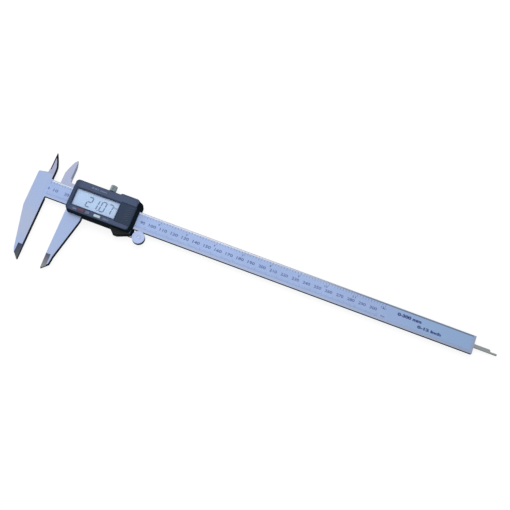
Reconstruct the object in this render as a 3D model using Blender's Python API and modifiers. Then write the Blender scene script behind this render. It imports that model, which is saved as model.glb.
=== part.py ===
"""Digital caliper, 300 mm class: ground steel beam and jaws, sliding display unit, depth rod.

Dimensions are laid out from the beam: x = 0 is the fixed outside measuring face and +X runs along the
beam towards the depth rod, y = 0 is the beam's centre line and +Y points to the inside blades, z = 0 is
the beam's back face and +Z comes out of the display. The last step moves everything so that the origin
is DATUM, on the fixed outside measuring face. The slider stands at READING.

Cutting shapes overrun the surfaces they open through, so their outer ends are not dimensions.
"""

import math

import bmesh
import bpy
from mathutils import Matrix, Vector

MM = 0.001

# ---------------------------------------------------------------- driving dimensions (mm)
# Boxes and rectangles are given as x0, x1, y0, y1 and, where solid, z0, z1.
READING = 21.07  # opening of the outside jaws as modelled
MAX_OPENING = 302.0  # opening at which the slider meets the end stop
BEAM_W = 16.0
BEAM_T = 4.0
BEAM_END = 385.3
HALF_W = BEAM_W / 2
MID_Z = BEAM_T / 2
JAW_TIP_Y = -67.0
JAW_LEFT_X = -14.3
JAW_POINT_Y = -53.5  # the jaws are thinned from here to the tip
BLADE_EDGE_X = -6.3  # measuring edge of the fixed inside blade
BLADE_TIP_Y = 32.6
BLADE_SPLIT_LOW = 1.9  # front of the sliding blade
BLADE_SPLIT_HIGH = 2.1  # back of the fixed blade
EDGE_WEDGE_W = 1.2
SCALE_BED = (-3.0, 383.0, -5.85, 7.65)
RECESS_FLOOR = 2.7
GROOVE_DEPTH = 1.9
ROD_W = 3.2
ROD_Z0, ROD_Z1 = 0.2, 1.75
ROD_SCREW_X = 66.0
RUN = 0.1  # running gap between slider and beam
WEB_Z0, WEB_Z1 = -1.2, -0.15
FRAME_X0, FRAME_X1 = 21.9, 78.2
RAIL_BOTTOM, RAIL_TOP = -12.4, 13.4
RAIL_Z = 4.2
GIB_Y0, GIB_Y1 = 8.2, 9.35
GIB_RAIL_Y = 9.7
GIB_SCREWS = (34.0, 69.0)  # x
GIB_SCREW_END_Y = GIB_Y1 + 0.05
LOCK_X, LOCK_Z = 51.3, 2.0
LOCK_HEAD_R = 2.9
LOCK_NECK_R = LOCK_HEAD_R - 0.9
STOP_LEN = 9.0
STOP_X = FRAME_X1 + MAX_OPENING - READING + 0.05
STOP_MID_X = STOP_X + STOP_LEN / 2
STOP_SCREWS = (4.6, -4.6)  # y
BRACKET_Z0, BRACKET_Z1 = -1.0, -0.2
BRACKET_SCREW = (71.0, -15.4)
ROLLER_C = (88.0, -13.7)
ROLLER_R = 5.6
ROLLER_Z0, ROLLER_Z1 = 0.1, 5.4
SCREWS = ((25.0, -11.1), (76.0, -11.1), (25.0, 11.5), (76.0, 11.5))  # housing screws, x, y
HOUSE_Z = 12.5
HOUSE_BASE = (21.4, 82.1, -14.4, 15.0)  # at the back rim
HOUSE_FRONT = (21.6, 78.2, -13.2, 14.6)  # at the front face
WALL = 1.2
CAVITY_Z = 10.4
PASS_Z = 4.3  # front of the openings that clear the beam and jaws
WINDOW = (25.4, 64.0, -7.9, 7.1)
COVER = (64.8, 78.3, -9.4, 8.7)
COVER_Z0, COVER_Z1 = 11.4, 12.6
PORT_HUMP_Z0, PORT_HUMP_Z1 = 2.5, 12.1
BATTERY_C = (71.0, -0.3)
BATTERY_R, BATTERY_H = 5.8, 5.4
BATTERY_Z0 = 5.85
BOARD_Z0, BOARD_Z1 = 4.45, 5.4
BUTTONS = {
    "power_button": (32.2, 38.6, -12.1, -9.1),
    "units_button": (39.6, 43.4, -12.0, -9.4),
    "zero_button": (47.2, 53.0, -11.9, -9.6),
}
BUTTON_BASE, BUTTON_TOP = 9.7, 13.1
SWITCH_HALF_W = 1.3

DATUM = (0.0, -38.0, MID_Z)  # finished frame's origin

# ---------------------------------------------------------------- scene set-up
for old in list(bpy.data.objects):
    bpy.data.objects.remove(old, do_unlink=True)

PARTS = bpy.data.collections.new("digital_caliper")
CUTTERS = bpy.data.collections.new("cutters")
bpy.context.scene.collection.children.link(PARTS)
bpy.context.scene.collection.children.link(CUTTERS)


def material(name, color, roughness, metallic=0.0):
    mat = bpy.data.materials.new(name)
    mat.use_nodes = True
    bsdf = mat.node_tree.nodes["Principled BSDF"]
    bsdf.inputs["Base Color"].default_value = (*color, 1.0)
    bsdf.inputs["Roughness"].default_value = roughness
    bsdf.inputs["Metallic"].default_value = metallic
    mat.diffuse_color = (*color, 1.0)
    return mat


STEEL = material("ground_steel", color=(0.56, 0.60, 0.72), roughness=0.32, metallic=1.0)
STEEL_DARK = material("screw_steel", color=(0.30, 0.33, 0.34), roughness=0.4, metallic=1.0)
BRASS = material("brass", color=(0.72, 0.52, 0.22), roughness=0.35, metallic=1.0)
BLACK = material("black_plastic", color=(0.025, 0.035, 0.06), roughness=0.45)
BLACK_MATT = material("cover_plastic", color=(0.03, 0.035, 0.05), roughness=0.7)
CLEAR = material("window_plastic", color=(0.72, 0.82, 0.93), roughness=0.08)
LCD = material("lcd_glass", color=(0.55, 0.65, 0.72), roughness=0.15)
SILVER_FILM = material("silver_film", color=(0.7, 0.72, 0.74), roughness=0.3, metallic=0.6)
BOARD = material("board_green", color=(0.03, 0.16, 0.07), roughness=0.5)
STRIP = material("scale_strip", color=(0.60, 0.65, 0.78), roughness=0.35, metallic=0.6)
RUBBER = material("grey_rubber", color=(0.12, 0.12, 0.13), roughness=0.85)
CHIP = material("chip_black", color=(0.02, 0.02, 0.022), roughness=0.5)
RED = material("red_button", color=(0.20, 0.06, 0.07), roughness=0.45)
GREY = material("grey_button", color=(0.14, 0.18, 0.24), roughness=0.45)
WHITE = material("white_button", color=(0.80, 0.86, 0.86), roughness=0.4)
CELL = material("cell_steel", color=(0.75, 0.75, 0.76), roughness=0.25, metallic=1.0)
SPRING = material("spring_steel", color=(0.62, 0.62, 0.60), roughness=0.3, metallic=1.0)

# ---------------------------------------------------------------- basic shapes
# Local x, y, z of a shape drawn along Z, turned to run along each axis.
TURN = {
    "Z": Matrix.Identity(4),
    "X": Matrix(((0, 0, 1, 0), (1, 0, 0, 0), (0, 1, 0, 0), (0, 0, 0, 1))),
    "Y": Matrix(((0, 1, 0, 0), (0, 0, 1, 0), (1, 0, 0, 0), (0, 0, 0, 1))),
}


def new_object(name, mesh, mat):
    """Link a mesh as a part, or as a hidden helper for a boolean if it has no material."""
    obj = bpy.data.objects.new(name, mesh)
    if mat:
        PARTS.objects.link(obj)
        mesh.materials.clear()
        mesh.materials.append(mat)
    else:
        CUTTERS.objects.link(obj)
        obj.hide_render = True
        obj.display_type = "WIRE"
    return obj


def finish_mesh(name, shape):
    mesh = bpy.data.meshes.new(name)
    shape.to_mesh(mesh)
    shape.free()
    return mesh


def box(name, x0, x1, y0, y1, z0, z1, mat=None):
    shape = bmesh.new()
    bmesh.ops.create_cube(shape, size=1.0)
    bmesh.ops.scale(shape, vec=Vector((x1 - x0, y1 - y0, z1 - z0)) * MM, verts=shape.verts)
    centre = Vector(((x0 + x1) / 2, (y0 + y1) / 2, (z0 + z1) / 2)) * MM
    bmesh.ops.translate(shape, vec=centre, verts=shape.verts)
    return new_object(name, finish_mesh(name, shape), mat)


def cylinder(name, axis, centre, radius, low, high, mat=None, segments=32):
    """A cylinder along axis; centre is in the two axes that follow axis in turn."""
    shape = bmesh.new()
    bmesh.ops.create_cone(
        shape, cap_ends=True, segments=segments,
        radius1=radius * MM, radius2=radius * MM, depth=(high - low) * MM,
    )
    bmesh.ops.translate(shape, vec=Vector((*centre, (low + high) / 2)) * MM, verts=shape.verts)
    shape.transform(TURN[axis])
    mesh = finish_mesh(name, shape)
    obj = new_object(name, mesh, mat)
    mesh.shade_smooth()
    mesh.set_sharp_from_angle(angle=math.radians(35))
    return obj


def z_hole(name, x, y, radius, z0, z1, segments=20):
    return cylinder(name, "Z", (x, y), radius, z0, z1, segments=segments)


def y_hole(name, x, z, radius, y0, y1, segments=20):
    return cylinder(name, "Y", (z, x), radius, y0, y1, segments=segments)


def fillet(points, steps=6):
    """Round the corners of a closed outline. A point is (x, y) or (x, y, radius)."""
    rounded = []
    for i, point in enumerate(points):
        radius = point[2] if len(point) > 2 else 0.0
        corner = Vector(point[:2])
        if radius <= 0:
            rounded.append(corner)
            continue
        to_last = (Vector(points[i - 1][:2]) - corner).normalized()
        to_next = (Vector(points[(i + 1) % len(points)][:2]) - corner).normalized()
        half_angle = to_last.angle(to_next) / 2
        reach = radius / math.tan(half_angle)
        centre = corner + (to_last + to_next).normalized() * (radius / math.sin(half_angle))
        start = corner + to_last * reach - centre
        total = start.angle_signed(corner + to_next * reach - centre)
        for k in range(steps + 1):
            turn = -total * k / steps
            cos, sin = math.cos(turn), math.sin(turn)
            arm = Vector((cos * start.x - sin * start.y, sin * start.x + cos * start.y))
            rounded.append(centre + arm)
    return [(point.x, point.y) for point in rounded]


def rect(x0, x1, y0, y1, radius=0.0):
    return fillet([(x0, y0, radius), (x1, y0, radius), (x1, y1, radius), (x0, y1, radius)])


def grown(extents, margin):
    """A rectangle with every side moved out by margin, or in if it is negative."""
    x0, x1, y0, y1 = extents
    return (x0 - margin, x1 + margin, y0 - margin, y1 + margin)


def prism(name, outlines, low, high, axis="Z", mat=None):
    """A flat outline, or several, filled as a 2D curve and extruded along axis into a mesh.

    Outline columns are x, y for axis Z; y, z for axis X; z, x for axis Y.
    """
    if not isinstance(outlines[0][0], (tuple, list)):
        outlines = [outlines]
    curve = bpy.data.curves.new(name, "CURVE")
    curve.dimensions = "2D"
    curve.fill_mode = "BOTH"
    curve.extrude = (high - low) / 2 * MM
    for outline in outlines:
        spline = curve.splines.new("POLY")
        spline.points.add(len(outline) - 1)
        for point, (x, y) in zip(spline.points, outline):
            point.co = (x * MM, y * MM, 0.0, 1.0)
        spline.use_cyclic_u = True
    drawn = bpy.data.objects.new(name + "_outline", curve)
    bpy.context.scene.collection.objects.link(drawn)
    bpy.context.view_layer.update()
    evaluated = drawn.evaluated_get(bpy.context.evaluated_depsgraph_get())
    mesh = bpy.data.meshes.new_from_object(evaluated)
    mesh.name = name
    bpy.data.objects.remove(drawn, do_unlink=True)
    bpy.data.curves.remove(curve)
    shape = bmesh.new()
    shape.from_mesh(mesh)
    bmesh.ops.remove_doubles(shape, verts=shape.verts, dist=1e-7)
    bmesh.ops.translate(shape, vec=Vector((0, 0, (low + high) / 2)) * MM, verts=shape.verts)
    bmesh.ops.dissolve_limit(shape, angle_limit=0.001, verts=shape.verts, edges=shape.edges)
    bmesh.ops.recalc_face_normals(shape, faces=shape.faces)
    shape.transform(TURN[axis])
    shape.to_mesh(mesh)
    shape.free()
    return new_object(name, mesh, mat)


def turned(name, axis, centre, profile, mat, segments):
    """A turned piece: (radius, height) points from the top of the axis down its outer side."""
    mesh = bpy.data.meshes.new(name)
    points = [Vector((radius, 0, height)) * MM for radius, height in profile]
    mesh.from_pydata(points, [(i, i + 1) for i in range(len(points) - 1)], [])
    obj = new_object(name, mesh, mat)
    screw = obj.modifiers.new("turn", "SCREW")
    screw.axis = "Z"
    screw.steps = segments
    screw.render_steps = segments
    screw.use_merge_vertices = True
    screw.merge_threshold = 1e-6
    screw.use_smooth_shade = True
    obj.matrix_world = TURN[axis] @ Matrix.Translation(Vector((*centre, 0)) * MM)


def back_screw(name, x, y, head, shank):
    """A screw driven from the back: head is radius, back z, front z; shank is radius, front z."""
    head_r, head_back, head_front = head
    shank_r, shank_front = shank
    profile = [
        (0, shank_front), (shank_r, shank_front), (shank_r, head_front), (head_r, head_front),
        (head_r, head_back + 0.12), (head_r - 0.12, head_back), (0, head_back),
    ]
    turned(name, "Z", (x, y), profile, STEEL_DARK, segments=20)


# ---------------------------------------------------------------- changes to a shape
def combine(obj, tools, operation):
    for tool in tools:
        mod = obj.modifiers.new(operation.lower() + "_" + tool.name, "BOOLEAN")
        mod.operation = operation
        mod.solver = "EXACT"
        mod.object = tool


def cut(obj, *tools):
    combine(obj, tools, "DIFFERENCE")


def join(obj, *tools):
    combine(obj, tools, "UNION")


def bevel(obj, width, angle=40):
    mod = obj.modifiers.new("edges", "BEVEL")
    mod.width = width * MM
    mod.segments = 1
    mod.limit_method = "ANGLE"
    mod.angle_limit = math.radians(angle)


def bevel_front(obj, width):
    """Round only the edges around the object's front face, its highest z."""
    mesh = obj.data
    top = max(v.co.z for v in mesh.vertices) - 1e-6
    weight = mesh.attributes.new("bevel_weight_edge", "FLOAT", "EDGE")
    for edge in mesh.edges:
        if all(mesh.vertices[i].co.z > top for i in edge.vertices):
            weight.data[edge.index].value = 1.0
    mod = obj.modifiers.new("front_edges", "BEVEL")
    mod.width = width * MM
    mod.segments = 2
    mod.limit_method = "WEIGHT"


def set_origin(obj, x, y, z):
    """Move the object's origin to a point and keep the shape where it is."""
    point = Vector((x, y, z)) * MM
    obj.data.transform(Matrix.Translation(-point))
    obj.location = point


def blend(base, top, t):
    return [p + (q - p) * t for p, q in zip(base, top)]


def taper(obj, z_low, base, z_high, top):
    """Stretch the mesh in x and y so its outline fits base at z_low and top at z_high."""
    vertices = obj.data.vertices
    xs = [v.co.x / MM for v in vertices]
    ys = [v.co.y / MM for v in vertices]
    x0, x1, y0, y1 = min(xs), max(xs), min(ys), max(ys)
    for v in vertices:
        left, right, bottom, upper = blend(base, top, (v.co.z / MM - z_low) / (z_high - z_low))
        x_share = (v.co.x / MM - x0) / (x1 - x0)
        y_share = (v.co.y / MM - y0) / (y1 - y0)
        v.co.x = (left + (right - left) * x_share) * MM
        v.co.y = (bottom + (upper - bottom) * y_share) * MM


def jaw_point_cut(name, x0, x1):
    """Wedge that thins a jaw's point on the front: 0.35 deep at JAW_POINT_Y, 1.5 beyond the tip."""
    outline = [
        (JAW_POINT_Y, BEAM_T), (JAW_POINT_Y, BEAM_T - 0.35), (JAW_TIP_Y - 2, BEAM_T - 1.5),
        (JAW_TIP_Y - 2, BEAM_T + 1), (JAW_POINT_Y, BEAM_T + 1),
    ]
    return prism(name, outline, x0, x1, axis="X")


def edge_wedge(name, edge_x, side, y0, z_keep, z_face):
    """Wedge that brings an inside blade to its measuring edge: nothing at z_keep, EDGE_WEDGE_W
    wide at z_face. The blade lies on the given side of the edge, +1 or -1 in x."""
    inner_x, outer_x = edge_x + side * EDGE_WEDGE_W, edge_x - side
    z_over = 2 * z_face - z_keep
    outline = [
        (z_face, inner_x), (z_keep, edge_x), (z_keep, outer_x), (z_over, outer_x), (z_over, inner_x),
    ]
    return prism(name, outline, y0, 40, axis="Y")


# ---------------------------------------------------------------- beam with the fixed jaw
BEAM_OUTLINE = [  # x, y
    (BEAM_END, -HALF_W), (BEAM_END, HALF_W), (0.15, HALF_W),
    # inside blade
    (0.15, 17.0), (-0.1, 19.8), (-1.8, 24.6), (-5.0, 31.3),
    (BLADE_EDGE_X + 0.35, BLADE_TIP_Y), (BLADE_EDGE_X, BLADE_TIP_Y - 0.4), (BLADE_EDGE_X, 13.4),
    # left end and outside jaw
    (JAW_LEFT_X + 0.6, 12.0), (JAW_LEFT_X, 11.4), (JAW_LEFT_X, -18.0),
    (JAW_LEFT_X + 0.15, -21.2), (-5.8, -59.0), (-4.4, -62.2),
    (-0.25, JAW_TIP_Y), (0.0, JAW_TIP_Y + 0.4),
    # relief notch where the jaw meets the beam
    (0.0, -9.6), (-0.5, -9.2), (-0.5, -8.5), (0.0, -HALF_W),
]
GROOVE_HALF_W = ROD_W / 2 + RUN

beam = prism("beam_with_fixed_jaw", BEAM_OUTLINE, 0.0, BEAM_T, mat=STEEL)
cut(
    beam,
    # the blade and the block it grows from keep to the front half, so the sliding blade passes behind
    box("cut_blade_split", -20, 0.6, HALF_W + 0.15, 40, -1, BLADE_SPLIT_HIGH),
    # shallow bed for the scale board and its strip
    box("cut_scale_bed", *SCALE_BED, RECESS_FLOOR, 5),
    # groove for the depth rod along the back
    box("cut_rod_groove", 38.0, 390, -GROOVE_HALF_W, GROOVE_HALF_W, -1, GROOVE_DEPTH),
    *[z_hole(f"cut_stop_screw_{i}", STOP_MID_X, y, 0.9, -1, 2.2)
      for i, y in enumerate(STOP_SCREWS, 1)],
    jaw_point_cut("cut_fixed_point", -4.2, 1.0),
    edge_wedge("cut_fixed_edge", BLADE_EDGE_X, 1, 16.6, BLADE_SPLIT_HIGH + 0.3, BEAM_T),
)

# ---------------------------------------------------------------- scale
box("scale_board", *grown(SCALE_BED, -0.2), RECESS_FLOOR + 0.05, 3.65, mat=BOARD)
box("scale_strip", -2.8, 382.8, -5.7, 7.5, 3.7, 3.93, mat=STRIP)

# ---------------------------------------------------------------- end stop
stop = box("end_stop_plate", STOP_X, STOP_X + STOP_LEN, -7.4, 7.4, WEB_Z0, -0.05, mat=STEEL)
for i, y in enumerate(STOP_SCREWS, 1):
    cut(stop, z_hole(f"cut_stop_hole_{i}", STOP_MID_X, y, 1.0, -3, 1))
for i, y in enumerate(STOP_SCREWS, 1):
    cut(stop, z_hole(f"cut_stop_head_{i}", STOP_MID_X, y, 1.75, -3, -0.55, segments=24))
    back_screw(
        f"end_stop_screw_{i}", STOP_MID_X, y, head=(1.6, -1.15, -0.6), shank=(0.8, 2.0)
    )

# ---------------------------------------------------------------- depth rod
ROD_START = ROD_SCREW_X - 4.0
ROD_TIP = BEAM_END + READING

rod_outline = [  # x, y; the tip is stepped back on the +Y half
    (ROD_START, -ROD_W / 2), (ROD_TIP, -ROD_W / 2), (ROD_TIP, -0.1),
    (ROD_TIP - 5.9, -0.1), (ROD_TIP - 6.6, ROD_W / 2), (ROD_START, ROD_W / 2),
]
rod = prism("depth_rod", rod_outline, ROD_Z0, ROD_Z1, mat=STEEL)
cut(rod, z_hole("cut_rod_hole", ROD_SCREW_X, 0, 0.85, -1, 3))
back_screw("depth_rod_screw", ROD_SCREW_X, 0, head=(1.6, -1.15, -0.65), shank=(0.75, 1.6))

# ---------------------------------------------------------------- slider frame with the sliding jaw
FRAME_SECTION = [  # y, z of the channel
    (RAIL_BOTTOM, WEB_Z0), (RAIL_TOP, WEB_Z0), (RAIL_TOP, RAIL_Z), (GIB_RAIL_Y, RAIL_Z),
    (GIB_RAIL_Y, WEB_Z1), (-HALF_W - RUN, WEB_Z1), (-HALF_W - RUN, RAIL_Z), (RAIL_BOTTOM, RAIL_Z),
]
JAW_ROOT_Y = -8.7
JAW_OUTLINE = [  # x, y
    (READING, JAW_ROOT_Y), (READING, JAW_TIP_Y + 0.4), (READING + 0.25, JAW_TIP_Y),
    (READING + 5.7, -61.9), (READING + 6.6, -54.5),
    (36.4, -18.0), (36.5, -16.0), (36.5, JAW_ROOT_Y),
]
SLIDE_EDGE = BLADE_EDGE_X + READING  # x of the sliding blade's measuring edge
BLADE_OUTLINE = [  # x, y
    (26.0, 9.85), (26.0, 11.6), (SLIDE_EDGE + 1.1, 11.6), (SLIDE_EDGE + 0.35, 12.1),
    (SLIDE_EDGE, 13.2), (SLIDE_EDGE, 25.0), (SLIDE_EDGE - 0.5, 28.0), (SLIDE_EDGE - 1.4, 31.2),
    (SLIDE_EDGE - 2.0, BLADE_TIP_Y), (SLIDE_EDGE - 2.8, 31.5), (SLIDE_EDGE - 4.0, 30.0),
    (SLIDE_EDGE - 5.4, 26.6), (SLIDE_EDGE - 6.9, 22.4), (SLIDE_EDGE - 8.1, 18.6),
    (SLIDE_EDGE - 8.1, HALF_W + 0.4), (23.4, HALF_W + 0.4), (23.4, 9.85),
]

slider = prism("slider_frame", FRAME_SECTION, FRAME_X0, FRAME_X1, axis="X", mat=STEEL)
join(
    slider,
    prism("add_jaw", JAW_OUTLINE, 0.0, BEAM_T),
    prism("add_blade", BLADE_OUTLINE, 0.02, BLADE_SPLIT_LOW),
)
cut(
    slider,
    jaw_point_cut("cut_sliding_point", READING - 1.0, READING + 4.2),
    edge_wedge("cut_sliding_edge", SLIDE_EDGE, -1, 15.0, 0.3, BLADE_SPLIT_LOW),
    y_hole("cut_lock_hole", LOCK_X, LOCK_Z, 1.35, 9, 15, segments=24),
    *[y_hole(f"cut_gib_hole_{i}", x, MID_Z, 1.1, 9, 15) for i, x in enumerate(GIB_SCREWS, 1)],
    z_hole("cut_rod_screw_hole", ROD_SCREW_X, 0, 0.85, -2, 0.5),
    z_hole("cut_rod_screw_head", ROD_SCREW_X, 0, 1.8, -2, -0.6, segments=24),
)
for i, (x, y) in enumerate(SCREWS, 1):
    cut(
        slider,
        z_hole(f"cut_frame_hole_{i}", x, y, 0.85, -2, 6),
        z_hole(f"cut_frame_head_{i}", x, y, 1.6, -2, -0.3, segments=24),
    )

# ---------------------------------------------------------------- gib and its slotted set screws
box("gib_strip", 24.4, 77.4, GIB_Y0, GIB_Y1, 0.25, 3.75, mat=BRASS)
for i, x in enumerate(GIB_SCREWS, 1):
    screw = cylinder(
        f"gib_screw_{i}", "Y", (MID_Z, x), 1.0, GIB_SCREW_END_Y, 13.2, mat=STEEL_DARK, segments=20
    )
    cut(screw, box(f"cut_gib_slot_{i}", x - 2, x + 2, 12.6, 14, MID_Z - 0.25, MID_Z + 0.25))

# ---------------------------------------------------------------- lock screw
LOCK_PROFILE = [  # radius, y
    (0, 22.4), (LOCK_HEAD_R - 0.4, 22.4), (LOCK_HEAD_R, 22.0), (LOCK_HEAD_R, 17.2),
    (LOCK_HEAD_R - 0.35, 16.85), (LOCK_NECK_R, 16.6), (LOCK_NECK_R, 15.7), (1.25, 15.7),
    (1.25, GIB_Y1 + 0.45), (0.9, GIB_SCREW_END_Y), (0, GIB_SCREW_END_Y),
]
turned("lock_screw", "Y", (LOCK_Z, LOCK_X), LOCK_PROFILE, STEEL_DARK, segments=32)

# ---------------------------------------------------------------- thumb roller on its bracket
BRACKET_OUTLINE = [  # x, y, corner radius
    (65.6, -13.4, 1.0), (83.0, -13.4, 1.0), (84.4, -11.2, 1.0), (91.0, -11.2, 2.2),
    (91.0, -16.4, 2.6), (85.2, -16.4, 1.0), (83.6, -15.0, 0.8), (77.0, -15.0, 1.0),
    (73.4, -16.9, 1.0), (68.6, -16.9, 1.2),
]
PIN_PROFILE = [  # radius, z
    (0, 5.25), (1.0, 5.25), (1.0, 0.02), (0.8, -0.1), (0.8, -1.1), (1.3, -1.15), (1.3, -1.6),
    (0, -1.6),
]

bracket = prism(
    "roller_bracket", fillet(BRACKET_OUTLINE, steps=4), BRACKET_Z0, BRACKET_Z1, mat=SPRING
)
cut(
    bracket,
    z_hole("cut_bracket_hole", *BRACKET_SCREW, 0.9, -2, 1),
    z_hole("cut_bracket_pin", *ROLLER_C, 0.85, -2, 1),
)
back_screw("bracket_screw", *BRACKET_SCREW, head=(1.5, -1.7, -1.1), shank=(0.75, 3.6))
turned("roller_pin", "Z", ROLLER_C, PIN_PROFILE, STEEL_DARK, segments=24)
roller = cylinder(
    "thumb_roller", "Z", ROLLER_C, ROLLER_R, ROLLER_Z0, ROLLER_Z1, mat=STEEL, segments=64
)
set_origin(roller, *ROLLER_C, 0)
bevel(roller, 0.35)
cut(roller, z_hole("cut_roller_bore", *ROLLER_C, 1.1, -2, 8, segments=24))

# ---------------------------------------------------------------- display housing
# Outlines: x, y, corner radius
REST_OUTLINE = [
    (61.0, -10.4), (62.2, -14.2, 1.0), (66.6, -18.6, 1.8), (70.0, -18.6, 2.0),
    (80.6, -14.2, 0.8), (80.8, -10.4),
]
REST_CAVITY_OUTLINE = [
    (63.6, -12.0), (64.2, -13.5, 0.5), (67.4, -16.8, 1.0), (69.8, -17.0, 1.0),
    (78.2, -13.7, 0.6), (78.6, -12.0),
]
PORT_HUMP_OUTLINE = [
    (60.6, 13.0), (60.6, 14.6, 0.5), (62.6, 16.0, 0.8), (81.6, 16.0, 3.2), (81.6, 11.0),
    (70.0, 11.0),
]
PORT_HUMP_BASE = (60.6, 81.6, 11.0, 16.1)
PORT_HUMP_FRONT = (60.6, 78.5, 11.0, 15.9)
CAVITY_Z0 = -1.0


def inside_housing(z):
    """The housing's tapered outline at a height, inset by the wall."""
    return grown(blend(HOUSE_BASE, HOUSE_FRONT, z / HOUSE_Z), -WALL)


x0, x1, y0, y1 = HOUSE_BASE
house_outline = fillet([(x0, y0, 3.0), (x1, y0, 2.5), (x1, y1, 3.2), (x0, y1, 3.0)])
housing = prism("housing", house_outline, 0.0, HOUSE_Z, mat=BLACK)
taper(housing, 0.0, HOUSE_BASE, HOUSE_Z, HOUSE_FRONT)
bevel_front(housing, 0.7)
thumb_rest = prism("add_thumb_rest", fillet(REST_OUTLINE, steps=4), 0.0, 6.5)
bevel_front(thumb_rest, 0.6)
port_hump = prism(
    "add_port_hump", fillet(PORT_HUMP_OUTLINE, steps=4), PORT_HUMP_Z0, PORT_HUMP_Z1
)
taper(port_hump, PORT_HUMP_Z0, PORT_HUMP_BASE, PORT_HUMP_Z1, PORT_HUMP_FRONT)
join(housing, thumb_rest, port_hump)

cavity_outline = fillet([(x0, y0, 1.0), (x1, y0, 1.0), (x1, y1, 1.0), (x0, y1, 1.0)], steps=3)
cavity = prism("cut_cavity", cavity_outline, CAVITY_Z0, CAVITY_Z)
taper(cavity, CAVITY_Z0, inside_housing(CAVITY_Z0), CAVITY_Z, inside_housing(CAVITY_Z))
cut(
    housing,
    cavity,
    prism("cut_rest_cavity", fillet(REST_CAVITY_OUTLINE, steps=3), -1.0, 5.2),
    box("cut_beam_pass", 10, 90, -8.4, 8.4, -2, PASS_Z),
    box("cut_jaw_pass", 10, 36.7, -20, -8.0, -2, PASS_Z),
    box("cut_root_pass", 10, 24.0, 8.0, 13.6, -2, PASS_Z),
    prism("cut_window", rect(*WINDOW, 0.8), 8.0, 14.0),
    # the battery cover's bed runs out through the right side
    box("cut_cover_bed", COVER[0] - 0.1, 90, COVER[2] - 0.1, COVER[3] + 0.1, COVER_Z0 - 0.05, 14),
    z_hole("cut_battery_hole", *BATTERY_C, BATTERY_R + 0.3, 8, 14, segments=40),
    y_hole("cut_lock_pass", LOCK_X, LOCK_Z, 1.7, 12, 18, segments=24),
    *[y_hole(f"cut_gib_access_{i}", x, MID_Z, 1.2, 12.5, 18) for i, x in enumerate(GIB_SCREWS, 1)],
    box("cut_port_bed", 64.9, 90, 14.95, 17, 4.4, 10.4),
    box("cut_port_mouth", 66.6, 73.4, 12.5, 17, 5.7, 8.6),
)
for name, extents in BUTTONS.items():
    cut(housing, prism("cut_" + name, rect(*grown(extents, 0.15), 0.5), 9.0, 14.0))

# housing screw bosses reach back from the front wall almost to the sensor board
for i, (x, y) in enumerate(SCREWS, 1):
    join(housing, z_hole(f"add_boss_{i}", x, y, 1.45, 5.6, CAVITY_Z + 0.6, segments=24))
join(housing, z_hole("add_bracket_boss", *BRACKET_SCREW, 1.7, 0.1, 5.7, segments=24))
for i, (x, y) in enumerate(SCREWS, 1):
    cut(housing, z_hole(f"cut_boss_{i}", x, y, 0.75, 4, 9.4))
    back_screw(f"housing_screw_{i}", x, y, head=(1.45, -1.05, -0.4), shank=(0.65, 9.0))
cut(housing, z_hole("cut_bracket_boss", *BRACKET_SCREW, 0.85, -1, 4.4))

# ---------------------------------------------------------------- back cover
prism("back_cover", rect(22.6, 77.6, -11.9, 12.9, 1.0), -1.75, -1.3, mat=STEEL)

# ---------------------------------------------------------------- electronics and display
board = prism("sensor_board", rect(23.4, 78.2, -12.3, 12.9, 1.2), BOARD_Z0, BOARD_Z1, mat=BOARD)
for i, (x, y) in enumerate(SCREWS, 1):
    cut(board, z_hole(f"cut_board_{i}", x, y, 0.9, 3, 7))

PLAIN_BLOCKS = (  # name, (x0, x1, y0, y1, z0, z1), material
    ("controller_chip", (41.0, 49.0, -4.0, 4.0, 5.5, 6.4), CHIP),
    ("contact_strip_upper", (27.0, 62.0, 6.2, 7.7, 5.45, 8.15), RUBBER),
    ("contact_strip_lower", (27.0, 62.0, -8.0, -6.5, 5.45, 8.15), RUBBER),
    ("lcd_reflector", (27.0, 62.0, -6.3, 6.0, 7.9, 8.1), SILVER_FILM),
    ("lcd_glass", (24.7, 64.2, -8.9, 8.6, 8.2, 10.2), LCD),
    ("key_pad", (30.6, 55.0, -11.95, -9.15, 7.7, 8.9), RUBBER),
    ("data_port_cover", (65.0, 77.0, 15.0, 15.85, 4.5, 10.3), BLACK_MATT),
    ("data_port_contacts", (67.0, 73.0, 10.4, 13.3, 5.5, 8.2), CHIP),
)
for name, extents, mat in PLAIN_BLOCKS:
    box(name, *extents, mat=mat)

# an open frame: outer rectangle, then its opening
holder_outlines = [rect(24.6, 64.4, -9.0, 8.7), rect(26.6, 62.4, -8.2, 7.9)]
prism("lcd_holder", holder_outlines, 5.5, 8.1, mat=WHITE)
prism("display_window", rect(*grown(WINDOW, -0.1), 0.7), 11.2, 12.35, mat=CLEAR)

# ---------------------------------------------------------------- buttons and their switches
for (name, extents), mat in zip(BUTTONS.items(), (RED, GREY, WHITE)):
    x0, x1, y0, y1 = extents
    centre_x, centre_y = (x0 + x1) / 2, (y0 + y1) / 2
    cap = prism(name, rect(*extents, 0.4), BUTTON_BASE, BUTTON_TOP, mat=mat)
    set_origin(cap, centre_x, centre_y, HOUSE_Z)
    bevel(cap, 0.2, angle=60)
    join(cap, box("add_flange_" + name, x0 - 0.35, x1 + 0.35, y0 + 0.2, y1 - 0.1, 9.5, 10.25))
    box(
        name.replace("button", "switch"), centre_x - SWITCH_HALF_W, centre_x + SWITCH_HALF_W,
        -11.9, -9.3, 5.45, 7.6, mat=CHIP,
    )

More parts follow.
